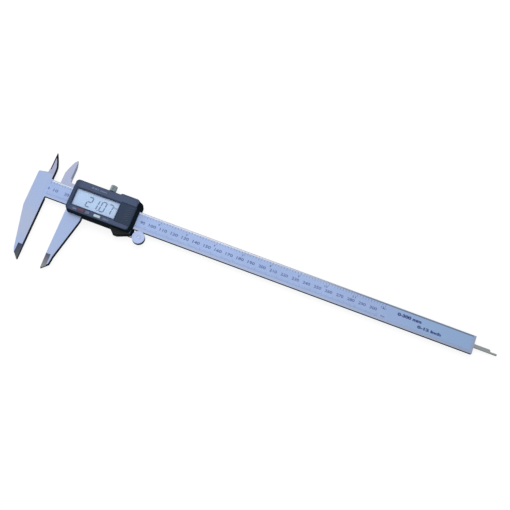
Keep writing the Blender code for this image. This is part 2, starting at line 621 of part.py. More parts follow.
# ---------------------------------------------------------------- battery and its contacts
BATTERY_TOP = BATTERY_Z0 + BATTERY_H
CELL_PROFILE = [  # radius, z
    (0, BATTERY_TOP), (BATTERY_R - 0.3, BATTERY_TOP), (BATTERY_R, BATTERY_TOP - 0.3),
    (BATTERY_R, 7.0), (BATTERY_R - 0.7, 6.3), (BATTERY_R - 0.7, BATTERY_Z0), (0, BATTERY_Z0),
]
CONTACT_MINUS = [  # z, x
    (5.45, 66.5), (5.45, 75.5), (5.6, 75.5), (5.8, 72.5), (5.8, 69.5), (5.6, 66.5),
]
CONTACT_PLUS = [(5.45, 76.9), (5.45, 77.3), (9.0, 77.3), (9.2, 76.9)]  # z, x

turned("button_cell", "Z", BATTERY_C, CELL_PROFILE, CELL, segments=40)
prism("battery_contact_minus", CONTACT_MINUS, -1.8, 1.2, axis="Y", mat=SPRING)
prism("battery_contact_plus", CONTACT_PLUS, -2.3, 1.7, axis="Y", mat=SPRING)

# ---------------------------------------------------------------- battery cover with slanted grips
GRIP_COUNT = 6
GRIP_Y, GRIP_PITCH = -5.8, 2.1  # lower left corner of the first groove, step to the next
GRIP_X0, GRIP_X1 = 71.0, 76.6
GRIP_W, GRIP_RISE = 0.6, 1.4
GRIP_DEPTH = 0.3

cover = prism("battery_cover", rect(*COVER, 0.4), COVER_Z0, COVER_Z1, mat=BLACK_MATT)
for k in range(GRIP_COUNT):
    y = GRIP_Y + k * GRIP_PITCH
    grip_outline = [
        (GRIP_X0, y), (GRIP_X1, y + GRIP_RISE),
        (GRIP_X1, y + GRIP_RISE + GRIP_W), (GRIP_X0, y + GRIP_W),
    ]
    cut(cover, prism(f"cut_grip_{k}", grip_outline, COVER_Z1 - GRIP_DEPTH, COVER_Z1 + 1))

# ---------------------------------------------------------------- origin at the datum
for piece in PARTS.objects[:] + CUTTERS.objects[:]:
    piece.location -= Vector(DATUM) * MM
bpy.context.view_layer.update()
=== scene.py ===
"""Looks of a digital caliper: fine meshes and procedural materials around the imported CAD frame.

Shapes are laid out in drawing millimetres: x = 0 on the fixed measuring face, y = 0 on the beam's
centre line, z = 0 on the beam's back. The beam runs along +x, the long jaws reach towards -y, the
short blades towards +y, and the scale and display face +z.
"""

import math
from contextlib import contextmanager

import bmesh
import bpy
from mathutils import Matrix, Vector


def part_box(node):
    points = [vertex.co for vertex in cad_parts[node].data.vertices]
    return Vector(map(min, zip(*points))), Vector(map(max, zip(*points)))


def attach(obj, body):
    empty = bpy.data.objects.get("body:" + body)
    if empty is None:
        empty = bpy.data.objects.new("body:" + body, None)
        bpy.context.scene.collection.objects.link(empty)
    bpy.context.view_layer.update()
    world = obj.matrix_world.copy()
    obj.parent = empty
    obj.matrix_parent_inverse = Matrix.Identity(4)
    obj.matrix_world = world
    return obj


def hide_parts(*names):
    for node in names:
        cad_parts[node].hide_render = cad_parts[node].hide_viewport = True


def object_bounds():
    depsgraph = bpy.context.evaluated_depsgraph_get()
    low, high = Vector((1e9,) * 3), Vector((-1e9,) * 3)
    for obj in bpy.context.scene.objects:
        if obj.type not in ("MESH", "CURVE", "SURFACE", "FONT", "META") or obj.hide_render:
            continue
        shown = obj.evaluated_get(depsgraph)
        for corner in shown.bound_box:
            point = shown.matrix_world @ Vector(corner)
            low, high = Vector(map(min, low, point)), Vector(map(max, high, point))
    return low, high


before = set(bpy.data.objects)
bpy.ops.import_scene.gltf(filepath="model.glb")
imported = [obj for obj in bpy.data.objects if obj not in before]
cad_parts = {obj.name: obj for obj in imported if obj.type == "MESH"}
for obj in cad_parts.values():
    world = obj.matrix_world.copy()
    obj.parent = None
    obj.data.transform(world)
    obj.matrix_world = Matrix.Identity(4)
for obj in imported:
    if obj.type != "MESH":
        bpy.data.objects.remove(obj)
CAD_LOW, CAD_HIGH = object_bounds()
SCENE = bpy.context.scene
MM = 0.001
X, Y = 0, 1  # axis numbers

BEAM_END = 385.3
BEAM_HALF = 8.0  # half the beam's width
BEAM_T = 4.0
BLADE_TIP_Y = 32.6
# The drawing's zero in the row frame, read from the beam's CAD box.
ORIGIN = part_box("beam_with_fixed_jaw")[1] - Vector((BEAM_END, BLADE_TIP_Y, BEAM_T)) * MM


def box_mm(node):
    """Low and high corner of a CAD node's box, in drawing millimetres."""
    low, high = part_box(node)
    return (low - ORIGIN) / MM, (high - ORIGIN) / MM


def centre_mm(node):
    return tuple((low + high) / 2 for low, high in zip(*box_mm(node)))


# ================================================================ node helpers
def rgba(color):
    return color if isinstance(color, bpy.types.NodeSocket) else (*color, 1.0)


def shade(color, factor):
    return tuple(max(0.0, min(1.0, part * factor)) for part in color)


class Tree:
    """Short forms for building one node tree. Any value may be a socket or a constant."""

    def __init__(self, owner):
        self.owner = owner
        owner.use_nodes = True
        self.tree = owner.node_tree
        self.tree.nodes.clear()

    def node(self, kind, inputs=None, **settings):
        made = self.tree.nodes.new(kind)
        for key, value in settings.items():
            setattr(made, key, value)
        for key, value in (inputs or {}).items():
            if isinstance(value, bpy.types.NodeSocket):
                self.tree.links.new(value, made.inputs[key])
            else:
                made.inputs[key].default_value = value
        return made

    def math(self, operation, first, second=0.0, third=0.0):
        inputs = {0: first, 1: second, 2: third}
        return self.node("ShaderNodeMath", inputs, operation=operation).outputs[0]

    def add(self, first, second):
        return self.math("ADD", first, second)

    def sub(self, first, second):
        return self.math("SUBTRACT", first, second)

    def mul(self, first, second):
        return self.math("MULTIPLY", first, second)

    def remap(self, value, low, high, to_low=0.0, to_high=1.0, smooth=False):
        inputs = {
            "Value": value, "From Min": low, "From Max": high, "To Min": to_low, "To Max": to_high,
        }
        kind = "SMOOTHSTEP" if smooth else "LINEAR"
        made = self.node("ShaderNodeMapRange", inputs, interpolation_type=kind, clamp=True)
        return made.outputs[0]

    def mix(self, factor, first, second, blend="MIX"):
        """Colour mix of two sockets or (r, g, b) values."""
        inputs = {0: factor, 6: rgba(first), 7: rgba(second)}
        return self.node("ShaderNodeMix", inputs, data_type="RGBA", blend_type=blend).outputs[2]

    def coords(self, scale=(1, 1, 1), offset=(0, 0, 0)):
        at = self.node("ShaderNodeTexCoord").outputs["Object"]
        inputs = {"Vector": at, "Scale": scale, "Location": offset}
        return self.node("ShaderNodeMapping", inputs).outputs[0]

    def streaks(self, axis, along, across, offset=(0, 0, 0)):
        """Coordinates that draw a texture out along one axis; along and across are frequencies."""
        scale = [across] * 3
        scale[axis] = along
        return self.coords(scale, offset)

    def noise(self, at=None, scale=1.0, detail=3.0, rough=0.5, distortion=0.0):
        inputs = {
            "Vector": at or self.coords(), "Scale": scale, "Detail": detail, "Roughness": rough,
            "Distortion": distortion,
        }
        return self.node("ShaderNodeTexNoise", inputs).outputs[0]

    def zone(self, axis, start, end, **options):
        """Ramp between two drawing positions (mm) along an axis."""
        at = self.node("ShaderNodeTexCoord").outputs["Object"]
        place_on = self.node("ShaderNodeSeparateXYZ", {0: at}).outputs[axis]
        low, high = ORIGIN[axis] + start * MM, ORIGIN[axis] + end * MM
        return self.remap(place_on, low, high, **options)

    def edge_mask(self, radius):
        """1 on convex and concave edges within radius mm, 0 on open faces."""
        rounded = self.node("ShaderNodeBevel", {"Radius": radius * MM}, samples=4).outputs[0]
        flat = self.node("ShaderNodeNewGeometry").outputs["True Normal"]
        dot = self.node("ShaderNodeVectorMath", {0: rounded, 1: flat}, operation="DOT_PRODUCT")
        turned_away = self.sub(1.0, dot.outputs["Value"])
        return self.remap(turned_away, low=0.015, high=0.22, smooth=True)

    def rear_metallic(self):
        """Metallic, dropping on faces turned to -z for their oiled, cloudy finish."""
        normal = self.node("ShaderNodeNewGeometry").outputs["True Normal"]
        z = self.node("ShaderNodeSeparateXYZ", {0: normal}).outputs[2]
        return self.remap(z, low=-0.93, high=-0.80, to_low=0.22)

    def wave(self, at, direction, **inputs):
        settings = {"wave_type": "BANDS", "bands_direction": direction}
        return self.node("ShaderNodeTexWave", {"Vector": at, **inputs}, **settings).outputs[0]

    def ramp(self, value, stops):
        """Grey ramp through (position, grey) stops."""
        made = self.node("ShaderNodeValToRGB", {0: value})
        elements = made.color_ramp.elements
        for element, (position, grey) in zip(elements, (stops[0], stops[-1])):
            element.position = position
            element.color = rgba((grey,) * 3)
        for position, grey in stops[1:-1]:
            elements.new(position).color = rgba((grey,) * 3)
        return made.outputs[0]

    def finish(self, surface, kind="ShaderNodeOutputMaterial"):
        self.node(kind, {"Surface": surface.outputs[0]})
        return self.owner

    def principled(self, inputs, height, bump, depth):
        """Finish with a principled surface bumped by height; depth in mm. Returns the material."""
        relief = {"Height": height, "Strength": bump, "Distance": depth * MM}
        normal = self.node("ShaderNodeBump", relief).outputs[0]
        return self.finish(self.node("ShaderNodeBsdfPrincipled", {**inputs, "Normal": normal}))


def new_material(name):
    return Tree(bpy.data.materials.new(name))


# ================================================================ materials
def ground_steel(
    name, tint, rough=0.30, grain=X, aniso=0.45, streak=0.10, wear=0.5, painted_shade_ramp=None
):
    """Surface-ground steel: fine grinding lines along grain, soft clouding, bright worn edges.

    streak is the lines' contrast, wear the edges' brightness; painted_shade_ramp is (zone
    arguments, near, far), a colour multiplied over the tint as painted shade along one axis.
    """
    blotch = 0.06  # weight of the clouding
    tree = new_material(name)
    lines = tree.noise(tree.streaks(grain, along=90, across=6500), detail=4.0, rough=0.65)
    bands = tree.noise(tree.streaks(grain, along=14, across=900, offset=(3.1, 1.7, 0.4)), rough=0.55)
    cloud = tree.noise(scale=38.0, rough=0.6, distortion=0.4)
    crossing = tree.streaks(1 - grain, along=240, across=4200, offset=(0.7, 5.1, 2.2))
    scratch = tree.remap(tree.noise(crossing, detail=2.0), low=0.70, high=0.78)
    edge = tree.edge_mask(radius=0.35)
    tone = tree.add(tree.mul(lines, streak), tree.mul(bands, streak * 0.8))
    tone = tree.add(tone, tree.mul(cloud, blotch))
    tone = tree.sub(tone, tree.mul(scratch, 0.05))
    tone = tree.remap(tone, low=0.0, high=1.8 * streak + blotch)
    base = tree.mix(tone, shade(tint, 1.0 - streak), shade(tint, 1.0 + streak * 0.7))
    # Large patches drift to a warmer tint.
    drift = tree.noise(tree.coords(offset=(0.31, 0.12, 0.05)), scale=26.0, detail=1.0)
    drift = tree.remap(drift, low=0.40, high=0.62, smooth=True)
    warm_dark = (tint[0] * 1.02, tint[1] * 0.95, tint[2] * 0.86)
    warm_light = (tint[0] * 1.14, tint[1] * 1.05, tint[2] * 0.97)
    base = tree.mix(drift, base, tree.mix(tone, warm_dark, warm_light))
    base = tree.mix(tree.mul(edge, wear), base, shade(tint, 1.22))
    # Painted shade: a colour ramp along one axis multiplied over the tint.
    if painted_shade_ramp:
        where, near, far = painted_shade_ramp
        base = tree.mix(1.0, base, tree.mix(tree.zone(**where), near, far), blend="MULTIPLY")
    # Clouds and lines roughen, edges are polished.
    gloss = tree.add(rough - 0.06, tree.mul(cloud, 0.09))
    gloss = tree.add(gloss, tree.mul(lines, 0.05))
    gloss = tree.sub(gloss, tree.mul(edge, 0.06))
    # Slightly off-axis, so that no face is square to the tangent.
    tangent = (1.0, 0.013, 0.027) if grain == X else (0.013, 1.0, 0.027)
    inputs = {
        "Base Color": base, "Metallic": tree.rear_metallic(), "Roughness": gloss,
        "Anisotropic": aniso,
        "Tangent": tree.node("ShaderNodeCombineXYZ", dict(enumerate(tangent))).outputs[0],
    }
    height = tree.sub(lines, tree.mul(scratch, 0.6))
    return tree.principled(inputs, height, bump=0.35, depth=0.006)


def turned_steel(name, tint, axis="Z", rough=0.30, wear=0.5):
    """Lathe-turned metal: concentric tool marks about the object's own axis."""
    streak = 0.12  # contrast of the tool marks
    tree = new_material(name)
    at = tree.node("ShaderNodeTexCoord").outputs["Object"]
    parts = tree.node("ShaderNodeSeparateXYZ", {0: at}).outputs
    first, second, along = (parts[i] for i in {"Z": (0, 1, 2), "Y": (2, 0, 1)}[axis])
    radius = tree.math("SQRT", tree.add(tree.mul(first, first), tree.mul(second, second)))
    angle = tree.math("ARCTAN2", second, first)

    def polar(radial, angular, axial):
        """Polar coordinates scaled by the three frequencies."""
        scaled = {
            0: tree.mul(radius, radial), 1: tree.mul(angle, angular), 2: tree.mul(along, axial),
        }
        return tree.node("ShaderNodeCombineXYZ", scaled).outputs[0]

    rings = tree.noise(polar(radial=9000.0, angular=0.6, axial=7000.0), rough=0.6)
    cloud = tree.noise(polar(radial=900.0, angular=0.9, axial=400.0), detail=2.0)
    edge = tree.edge_mask(radius=0.2)
    tone = tree.add(tree.mul(rings, 0.6), tree.mul(cloud, 0.4))
    base = tree.mix(tone, shade(tint, 1.0 - streak), shade(tint, 1.0 + streak))
    base = tree.mix(tree.mul(edge, wear), base, shade(tint, 1.3))
    inputs = {
        "Base Color": base, "Metallic": tree.rear_metallic(),
        "Roughness": tree.remap(cloud, 0.2, 0.8, to_low=rough - 0.05, to_high=rough + 0.07),
    }
    return tree.principled(inputs, rings, bump=0.3, depth=0.006)


def moulded(
    name, color, rough=0.42, grain=3200.0, depth=0.010, worn=None, wear=0.35, dust=0.12,
    spec=0.5, ior=1.5, low_end_painted_shade=None,
):
    """Moulded plastic: fine grain, uneven gloss, rubbed edges and a little dust in the corners.

    grain and depth are the texture's frequency and height (mm), worn the edges' colour;
    low_end_painted_shade is (start x, end x, colour), painted shade tinting the piece's low-x end.
    """
    tree = new_material(name)
    grains = tree.noise(scale=grain, detail=2.0, rough=0.6)
    pits = tree.noise(tree.coords(offset=(4.2, 0.3, 1.1)), scale=grain * 0.36, detail=2.0)
    cloud = tree.noise(scale=55.0, detail=4.0, rough=0.6, distortion=0.6)
    edge = tree.edge_mask(radius=0.35)
    patches = tree.remap(cloud, low=0.3, high=0.7)
    base = tree.mix(patches, shade(color, 0.88), shade(color, 1.14))
    base = tree.mix(tree.remap(grains, low=0.55, high=0.8), base, shade(color, 1.35))
    rub = tree.mul(edge, tree.remap(cloud, low=0.35, high=0.6, to_low=0.25))
    base = tree.mix(tree.mul(rub, wear), base, worn or shade(color, 3.0))
    occlusion = tree.node(
        "ShaderNodeAmbientOcclusion", {"Distance": 1.6 * MM}, samples=4, only_local=True
    ).outputs["AO"]
    corners = tree.remap(occlusion, low=0.25, high=0.75, to_low=1.0, to_high=0.0)
    base = tree.mix(tree.mul(corners, dust), base, (0.24, 0.24, 0.23))
    # Painted shade at the low-x end.
    if low_end_painted_shade:
        start, end, tint = low_end_painted_shade
        base = tree.mix(tree.zone(X, start, end, to_low=1.0, to_high=0.0), base, tint)
    # Clouds roughen, rubbed edges shine.
    gloss = tree.add(tree.mul(cloud, 0.14), rough - 0.07)
    inputs = {
        "Base Color": base, "Roughness": tree.sub(gloss, tree.mul(rub, 0.10)),
        "Specular IOR Level": spec, "IOR": ior,
    }
    return tree.principled(inputs, tree.add(grains, tree.mul(pits, 0.8)), bump=0.5, depth=depth)


def printed_film(name, color, rough=0.36):
    """Satin metallised film, with painted shade darkening it towards the beam's far end."""
    tree = new_material(name)
    lines = tree.noise(tree.streaks(X, along=60, across=5200), rough=0.6)
    cloud = tree.noise(scale=30.0, rough=0.6, distortion=0.3)
    speck = tree.remap(tree.noise(scale=2600.0, detail=1.0), low=0.72, high=0.8)
    base = tree.mix(lines, shade(color, 0.95), shade(color, 1.05))
    base = tree.mix(tree.remap(cloud, low=0.3, high=0.7), base, shade(color, 0.93))
    base = tree.mix(tree.mul(speck, 0.25), base, shade(color, 0.6))
    # Painted shade towards the beam's far end.
    far_end_painted_shade = (color[0] * 0.86, color[1] * 0.95, color[2] * 0.94)
    base = tree.mix(tree.zone(X, start=300.0, end=350.0, smooth=True), base, far_end_painted_shade)
    inputs = {
        "Base Color": base, "Metallic": 0.85,
        "Roughness": tree.remap(cloud, 0.25, 0.75, to_low=rough - 0.04, to_high=rough + 0.07),
    }
    return tree.principled(inputs, lines, bump=0.18, depth=0.004)


def ink(name, color, wear=0.30, rough=0.5):
    """Screen-printed ink, slightly uneven, thinning where it has been rubbed."""
    tree = new_material(name)
    fine = tree.noise(scale=5200.0, detail=2.0, rough=0.6)
    rub = tree.noise(scale=140.0, rough=0.6)
    base = tree.mix(fine, shade(color, 0.8), shade(color, 1.2))
    thin = tree.mul(tree.remap(rub, low=0.5, high=0.75), wear)
    inputs = {
        "Base Color": tree.mix(thin, base, shade(color, 2.2)),
        "Roughness": tree.remap(rub, 0.3, 0.7, to_low=rough - 0.08, to_high=rough + 0.1),
    }
    return tree.principled(inputs, fine, bump=0.3, depth=0.004)


def lcd_cell_material(name, color):
    """Reflective liquid crystal cell: pale ground with faint rows."""
    tree = new_material(name)
    at = tree.coords()
    rows = tree.wave(at, "Y", Scale=900.0, Distortion=0.2, Detail=1.0)
    soft = tree.noise(at, scale=45.0, detail=2.0)
    speck = tree.noise(at, scale=4200.0, detail=1.0)
    patches = tree.remap(soft, low=0.3, high=0.7)
    base = tree.mix(patches, shade(color, 0.95), shade(color, 1.04))
    base = tree.mix(tree.mul(rows, 0.05), base, shade(color, 0.85))
    sparkle = tree.mul(tree.remap(speck, low=0.6, high=0.8), 0.06)
    inputs = {
        "Base Color": tree.mix(sparkle, base, (1.0, 1.0, 1.0)),
        "Roughness": tree.remap(soft, low=0.3, high=0.7, to_low=0.18, to_high=0.28),
        "Specular IOR Level": 0.35,
    }
    return tree.principled(inputs, speck, bump=0.05, depth=0.003)


def clear_window(name):
    """Polished acrylic: clear, with fresnel reflection, a faint tint and hairline scratches."""
    tree = new_material(name)
    soft = tree.noise(scale=60.0, rough=0.6, distortion=0.5)
    hair = tree.noise(tree.coords((700, 9000, 1000), (1.0, 2.0, 0.3)), detail=1.0)
    hair = tree.remap(hair, low=0.73, high=0.80)
    grease = tree.mul(tree.remap(soft, low=0.45, high=0.7), 0.035)
    clear = tree.node("ShaderNodeBsdfTransparent", {"Color": (0.965, 0.98, 0.99, 1.0)})
    rough = tree.remap(soft, low=0.4, high=0.7, to_low=0.04, to_high=0.12)
    gloss = tree.node(
        "ShaderNodeBsdfGlossy", {"Color": (0.95, 0.97, 1.0, 1.0), "Roughness": rough}
    )
    veil = tree.node("ShaderNodeBsdfDiffuse", {"Color": (0.82, 0.88, 0.96, 1.0)})
    inside = tree.node("ShaderNodeNewGeometry").outputs["Backfacing"]
    fresnel = tree.node("ShaderNodeFresnel", {"IOR": 1.49}).outputs[0]
    mirror = tree.mul(fresnel, tree.sub(1.0, inside))
    first = tree.node("ShaderNodeMixShader", {0: mirror, 1: clear.outputs[0], 2: gloss.outputs[0]})
    haze = tree.add(grease, tree.mul(hair, 0.10))
    return tree.finish(
        tree.node("ShaderNodeMixShader", {0: haze, 1: first.outputs[0], 2: veil.outputs[0]})
    )


def circuit_board(name):
    """Solder-masked board: deep green over fine copper tracks and plated vias."""
    tree = new_material(name)
    at = tree.coords()
    tracks = tree.node("ShaderNodeTexBrick", {
        "Vector": at, "Scale": 420.0, "Mortar Size": 0.045, "Mortar Smooth": 0.1, "Bias": -0.4,
        "Brick Width": 1.7, "Row Height": 0.6,
    }).outputs["Fac"]
    cells = tree.node("ShaderNodeTexVoronoi", {"Vector": at, "Scale": 330.0, "Randomness": 0.75})
    via = tree.remap(cells.outputs["Distance"], low=0.10, high=0.16, to_low=1.0, to_high=0.0)
    checks = tree.node("ShaderNodeTexChecker", {"Vector": tree.coords(), "Scale": 1900.0})
    base = tree.mix(checks.outputs["Fac"], (0.010, 0.085, 0.030), (0.013, 0.100, 0.036))
    base = tree.mix(tree.mul(tracks, 0.8), base, (0.035, 0.19, 0.06))
    gloss = tree.noise(at, scale=200.0)
    inputs = {
        "Base Color": tree.mix(via, base, (0.62, 0.50, 0.26)),
        "Metallic": tree.mul(via, 0.9),
        "Roughness": tree.remap(gloss, low=0.3, high=0.7, to_low=0.30, to_high=0.42),
    }
    return tree.principled(inputs, tree.add(tracks, via), bump=0.5, depth=0.02)


def rubber(name, color, stripes=0.0):
    """Silicone rubber; stripes is the frequency of the contact strip's layers along x."""
    tree = new_material(name)
    at = tree.coords()
    soft = tree.noise(at, scale=700.0, rough=0.6)
    base = tree.mix(soft, shade(color, 0.8), shade(color, 1.25))
    if stripes:
        bands = tree.wave(at, "X", Scale=stripes, Distortion=0.0)
        base = tree.mix(tree.remap(bands, low=0.4, high=0.6), base, (0.42, 0.42, 0.44))
    gloss = tree.remap(soft, low=0.2, high=0.8, to_low=0.65, to_high=0.85)
    inputs = {"Base Color": base, "Roughness": gloss}
    return tree.principled(inputs, soft, bump=0.4, depth=0.02)


def jaw_point_steel(name, tint, shoulder_painted_shade):
    """Cross-ground jaw point in a darker copy of the steel: painted shade, deepest at the shoulder
    and paler towards the tip.
    """
    return ground_steel(
        name, tint, rough=0.42, aniso=0.2, streak=0.16, wear=0.7,
        painted_shade_ramp=({"axis": Y, "start": -54.0, "end": -66.5}, shoulder_painted_shade, (1.0, 1.0, 0.92)),
    )


STEEL_TINT = (0.405, 0.510, 0.775)
steel_x = ground_steel("steel_ground_lengthwise", STEEL_TINT, wear=0.35)
steel_y = ground_steel("steel_ground_jaws", STEEL_TINT, rough=0.31, grain=Y, wear=0.35)
steel_blade = ground_steel(
    "steel_ground_blade_sliding", (0.450, 0.505, 0.710), rough=0.29, grain=Y, wear=0.35
)
steel_blade_fixed = ground_steel(
    "steel_ground_blade_fixed", (0.390, 0.440, 0.650), grain=Y, wear=0.35
)
# Pale copy of the steel for the top faces beside the scale: painted highlight, fading into painted
# shade towards the far end.
steel_edge_painted_light = ground_steel(
    "steel_beam_edge_painted_highlight_and_shade", (0.86, 0.89, 0.97), wear=0.45,
    painted_shade_ramp=(
        {"axis": X, "start": 175.0, "end": 315.0, "smooth": True},
        (1.0, 1.0, 1.0), (0.22, 0.29, 0.37),
    ),
)
# Darker copies of the steel on the sloped jaw points: painted shade, far deeper on the fixed jaw.
jaw_point_fixed = jaw_point_steel(
    "steel_jaw_point_fixed", (0.12, 0.135, 0.15), shoulder_painted_shade=(0.62, 0.66, 1.0)
)
jaw_point_sliding = jaw_point_steel(
    "steel_jaw_point_sliding", (0.33, 0.345, 0.37), shoulder_painted_shade=(0.36, 0.36, 0.52)
)
# Paler copy of the blade steel for the sliding blade's sloped edge: painted highlight.
steel_blade_edge_painted_highlight = ground_steel(
    "steel_blade_bevel_painted_highlight", (0.50, 0.53, 0.72), rough=0.36, grain=Y, aniso=0.1, wear=0.2
)
# Dark copy of the steel for side faces and bevels: painted shade.
steel_flank_painted_shade = ground_steel(
    "steel_painted_shade_flanks", (0.070, 0.078, 0.115), rough=0.34, grain=Y, aniso=0.2, streak=0.14,
    wear=0.3,
)
steel_back = ground_steel("steel_back_sheet", (0.50, 0.56, 0.70), rough=0.38, wear=0.3)
steel_rod = ground_steel("steel_depth_rod", (0.40, 0.43, 0.45), rough=0.36)
spring = ground_steel("spring_steel_blued", (0.20, 0.21, 0.22))
brass = ground_steel("brass_drawn", (0.66, 0.45, 0.18), rough=0.34, wear=0.4)
film = printed_film("scale_film", (0.385, 0.505, 0.800))
silver = printed_film("reflector_foil", (0.72, 0.74, 0.77), rough=0.28)
roller_turned = turned_steel("steel_turned_roller", (0.48, 0.58, 0.88))
# Dark copy of the roller steel for its knurled side: painted shade.
roller_rim_painted_shade = turned_steel("steel_roller_side_painted_shade", (0.13, 0.15, 0.19), rough=0.36)
pin_turned = turned_steel("steel_turned_pin", (0.62, 0.72, 0.95), rough=0.28)
dark_turned = turned_steel(
    "steel_black_oxide_turned", (0.155, 0.185, 0.195), rough=0.36, wear=0.9
)
lock_turned = turned_steel(
    "steel_lock_screw", (0.36, 0.44, 0.46), axis="Y", rough=0.34, wear=0.9
)
cell_can = turned_steel("cell_nickel_can", (0.62, 0.62, 0.63), rough=0.22)
# The housing's low-x end is darkened with painted shade.
shell_plastic = moulded(
    "housing_abs", (0.024, 0.042, 0.096), rough=0.36, worn=(0.085, 0.10, 0.125), wear=0.30,
    low_end_painted_shade=(24.0, 27.5, (0.006, 0.023, 0.070)),
)
# Darker copy of the housing plastic for the sloped bezel round the window: painted shade.
bezel_plastic_painted_shade = moulded(
    "housing_bezel_painted_shade", (0.0055, 0.0155, 0.055), rough=0.34, grain=4200.0, depth=0.004,
    worn=(0.03, 0.05, 0.10), wear=0.25, dust=0.08, spec=0.35,
)
# Darker copy of the housing plastic for faces not turned to the front: painted shade.
side_plastic_painted_shade = moulded(
    "housing_side_matt_abs_painted_shade", (0.0050, 0.0110, 0.0155), rough=0.66, grain=1500.0, depth=0.030,
    worn=(0.025, 0.036, 0.052), wear=0.18, dust=0.06, ior=1.14,
)
rest_plastic = moulded(
    "housing_thumb_rest_abs", (0.0075, 0.0095, 0.0100), rough=0.60, worn=(0.04, 0.045, 0.05),
    wear=0.30, spec=0.25,
)
cover_plastic = moulded(
    "battery_cover_abs", (0.0045, 0.0175, 0.050), rough=0.55, grain=2600.0, depth=0.014,
    worn=(0.075, 0.085, 0.11), wear=0.40,
)
# Lighter copy of the cover plastic for the rib tops: painted highlight on the raised ribs, with
# rubbed edges.
rib_tops_highlight_and_wear = moulded(
    "battery_cover_rib_tops_painted_highlight_and_wear", (0.014, 0.030, 0.062), rough=0.46, grain=2600.0,
    worn=(0.10, 0.12, 0.15), wear=0.40,
)
red_plastic = moulded(
    "button_red_abs", (0.062, 0.027, 0.050), rough=0.40, worn=(0.35, 0.14, 0.13), wear=0.3,
    dust=0.2,
)
grey_plastic = moulded(
    "button_grey_abs", (0.072, 0.098, 0.155), rough=0.40, worn=(0.26, 0.30, 0.36), wear=0.3,
    dust=0.2,
)
white_plastic = moulded(
    "button_white_abs", (0.35, 0.455, 0.52), rough=0.38, worn=(0.72, 0.80, 0.80), wear=0.2,
    dust=0.15,
)
holder_plastic = moulded("holder_natural_abs", (0.62, 0.63, 0.60), rough=0.5)
chip_epoxy = moulded("chip_epoxy", (0.012, 0.012, 0.014), rough=0.32, grain=1800.0, depth=0.02)
lcd_ground = lcd_cell_material("lcd_cell", (0.395, 0.505, 0.690))
lcd_ink = ink("lcd_segments_ink", (0.085, 0.130, 0.225), wear=0.05, rough=0.35)
scale_ink = ink("scale_ink", (0.060, 0.090, 0.230))
inch_ink = ink("scale_ink_inch", (0.045, 0.070, 0.170), wear=0.25)
end_ink = ink("beam_end_ink", (0.022, 0.040, 0.150), wear=0.15)
label_ink = ink("housing_label_ink", (0.155, 0.190, 0.300), wear=0.2)
window_clear = clear_window("window_acrylic")
board = circuit_board("board_solder_mask")
pad_rubber = rubber("key_pad_silicone", (0.20, 0.20, 0.21))
strip_rubber = rubber("zebra_strip", (0.03, 0.03, 0.032), stripes=2600.0)


# ================================================================ outlines
def fillet(points, steps=8):
    """Round the corners of a closed outline. A point is (x, y) or (x, y, radius)."""
    out = []
    for i, point in enumerate(points):
        radius = point[2] if len(point) > 2 else 0.0
        here = Vector(point[:2])
        if radius <= 0:
            out.append(here)
            continue
        back = (Vector(points[i - 1][:2]) - here).normalized()
        ahead = (Vector(points[(i + 1) % len(points)][:2]) - here).normalized()
        half = back.angle(ahead) / 2
        reach = radius / math.tan(half)
        centre = here + (back + ahead).normalized() * (radius / math.sin(half))
        start = here + back * reach - centre
        end = here + ahead * reach - centre
        total = start.angle_signed(end)
        for k in range(steps + 1):
            turn = -total * k / steps
            cos, sin = math.cos(turn), math.sin(turn)
            arm = Vector((cos * start.x - sin * start.y, sin * start.x + cos * start.y))
            out.append(centre + arm)
    return [(q.x, q.y) for q in out]


def offset_outline(points, distance, still=()):
    """Move every edge inwards (edge i runs from point i to the next); edges in still stay."""
    following = points[1:] + points[:1]
    area = sum(p[0] * q[1] - q[0] * p[1] for p, q in zip(points, following))
    side = 1.0 if area > 0 else -1.0
    lines = []
    for i, (point, after) in enumerate(zip(points, following)):
        start = Vector(point[:2])
        along = (Vector(after[:2]) - start).normalized()
        shift = 0.0 if i in still else distance * side
        lines.append((start + Vector((-along.y, along.x)) * shift, along))
    out = []
    for i, point in enumerate(points):
        (start, along), (other, across) = lines[i - 1], lines[i]
        cross = along.x * across.y - along.y * across.x
        reach = ((other.x - start.x) * across.y - (other.y - start.y) * across.x) / cross
        corner = start + along * reach
        radius = point[2] if len(point) > 2 else 0.0
        rounding = (max(0.08, radius - distance),) if radius else ()
        out.append((corner.x, corner.y, *rounding))
    return out


def rect(x_low, x_high, y_low, y_high, radius=0.0, steps=5):
    corners = ((x_low, y_low), (x_high, y_low), (x_high, y_high), (x_low, y_high))
    return fillet([(x, y, radius) for x, y in corners], steps) if radius else list(corners)


def level(points, z):
    """An outline laid at height z."""
    return [(x, y, z) for x, y in points]


def quarter(steps, first=1):
    """(rise, inset) of a unit quarter round, from its lower edge inwards to its top."""
    angles = [math.pi / 2 * k / steps for k in range(first, steps + 1)]
    return [(math.sin(angle), 1 - math.cos(angle)) for angle in angles]


# ================================================================ mesh helpers
# An outline is drawn in (x, y) for axis Z, (y, z) for axis X and (z, x) for axis Y.
TURN = {
    "Z": Matrix.Identity(4),
    "X": Matrix(((0, 0, 1, 0), (1, 0, 0, 0), (0, 1, 0, 0), (0, 0, 0, 1))),
    "Y": Matrix(((0, 1, 0, 0), (0, 0, 1, 0), (1, 0, 0, 0), (0, 0, 0, 1))),
}


def to_object(work, name="tool"):
    bmesh.ops.recalc_face_normals(work, faces=work.faces)
    mesh = bpy.data.meshes.new(name)
    work.to_mesh(mesh)
    work.free()
    made = bpy.data.objects.new(name, mesh)
    SCENE.collection.objects.link(made)
    return made


@contextmanager
def editing(piece):
    """The piece's mesh as a bmesh, written back at the end."""
    work = bmesh.new()
    work.from_mesh(piece.data)
    yield work
    work.to_mesh(piece.data)
    work.free()


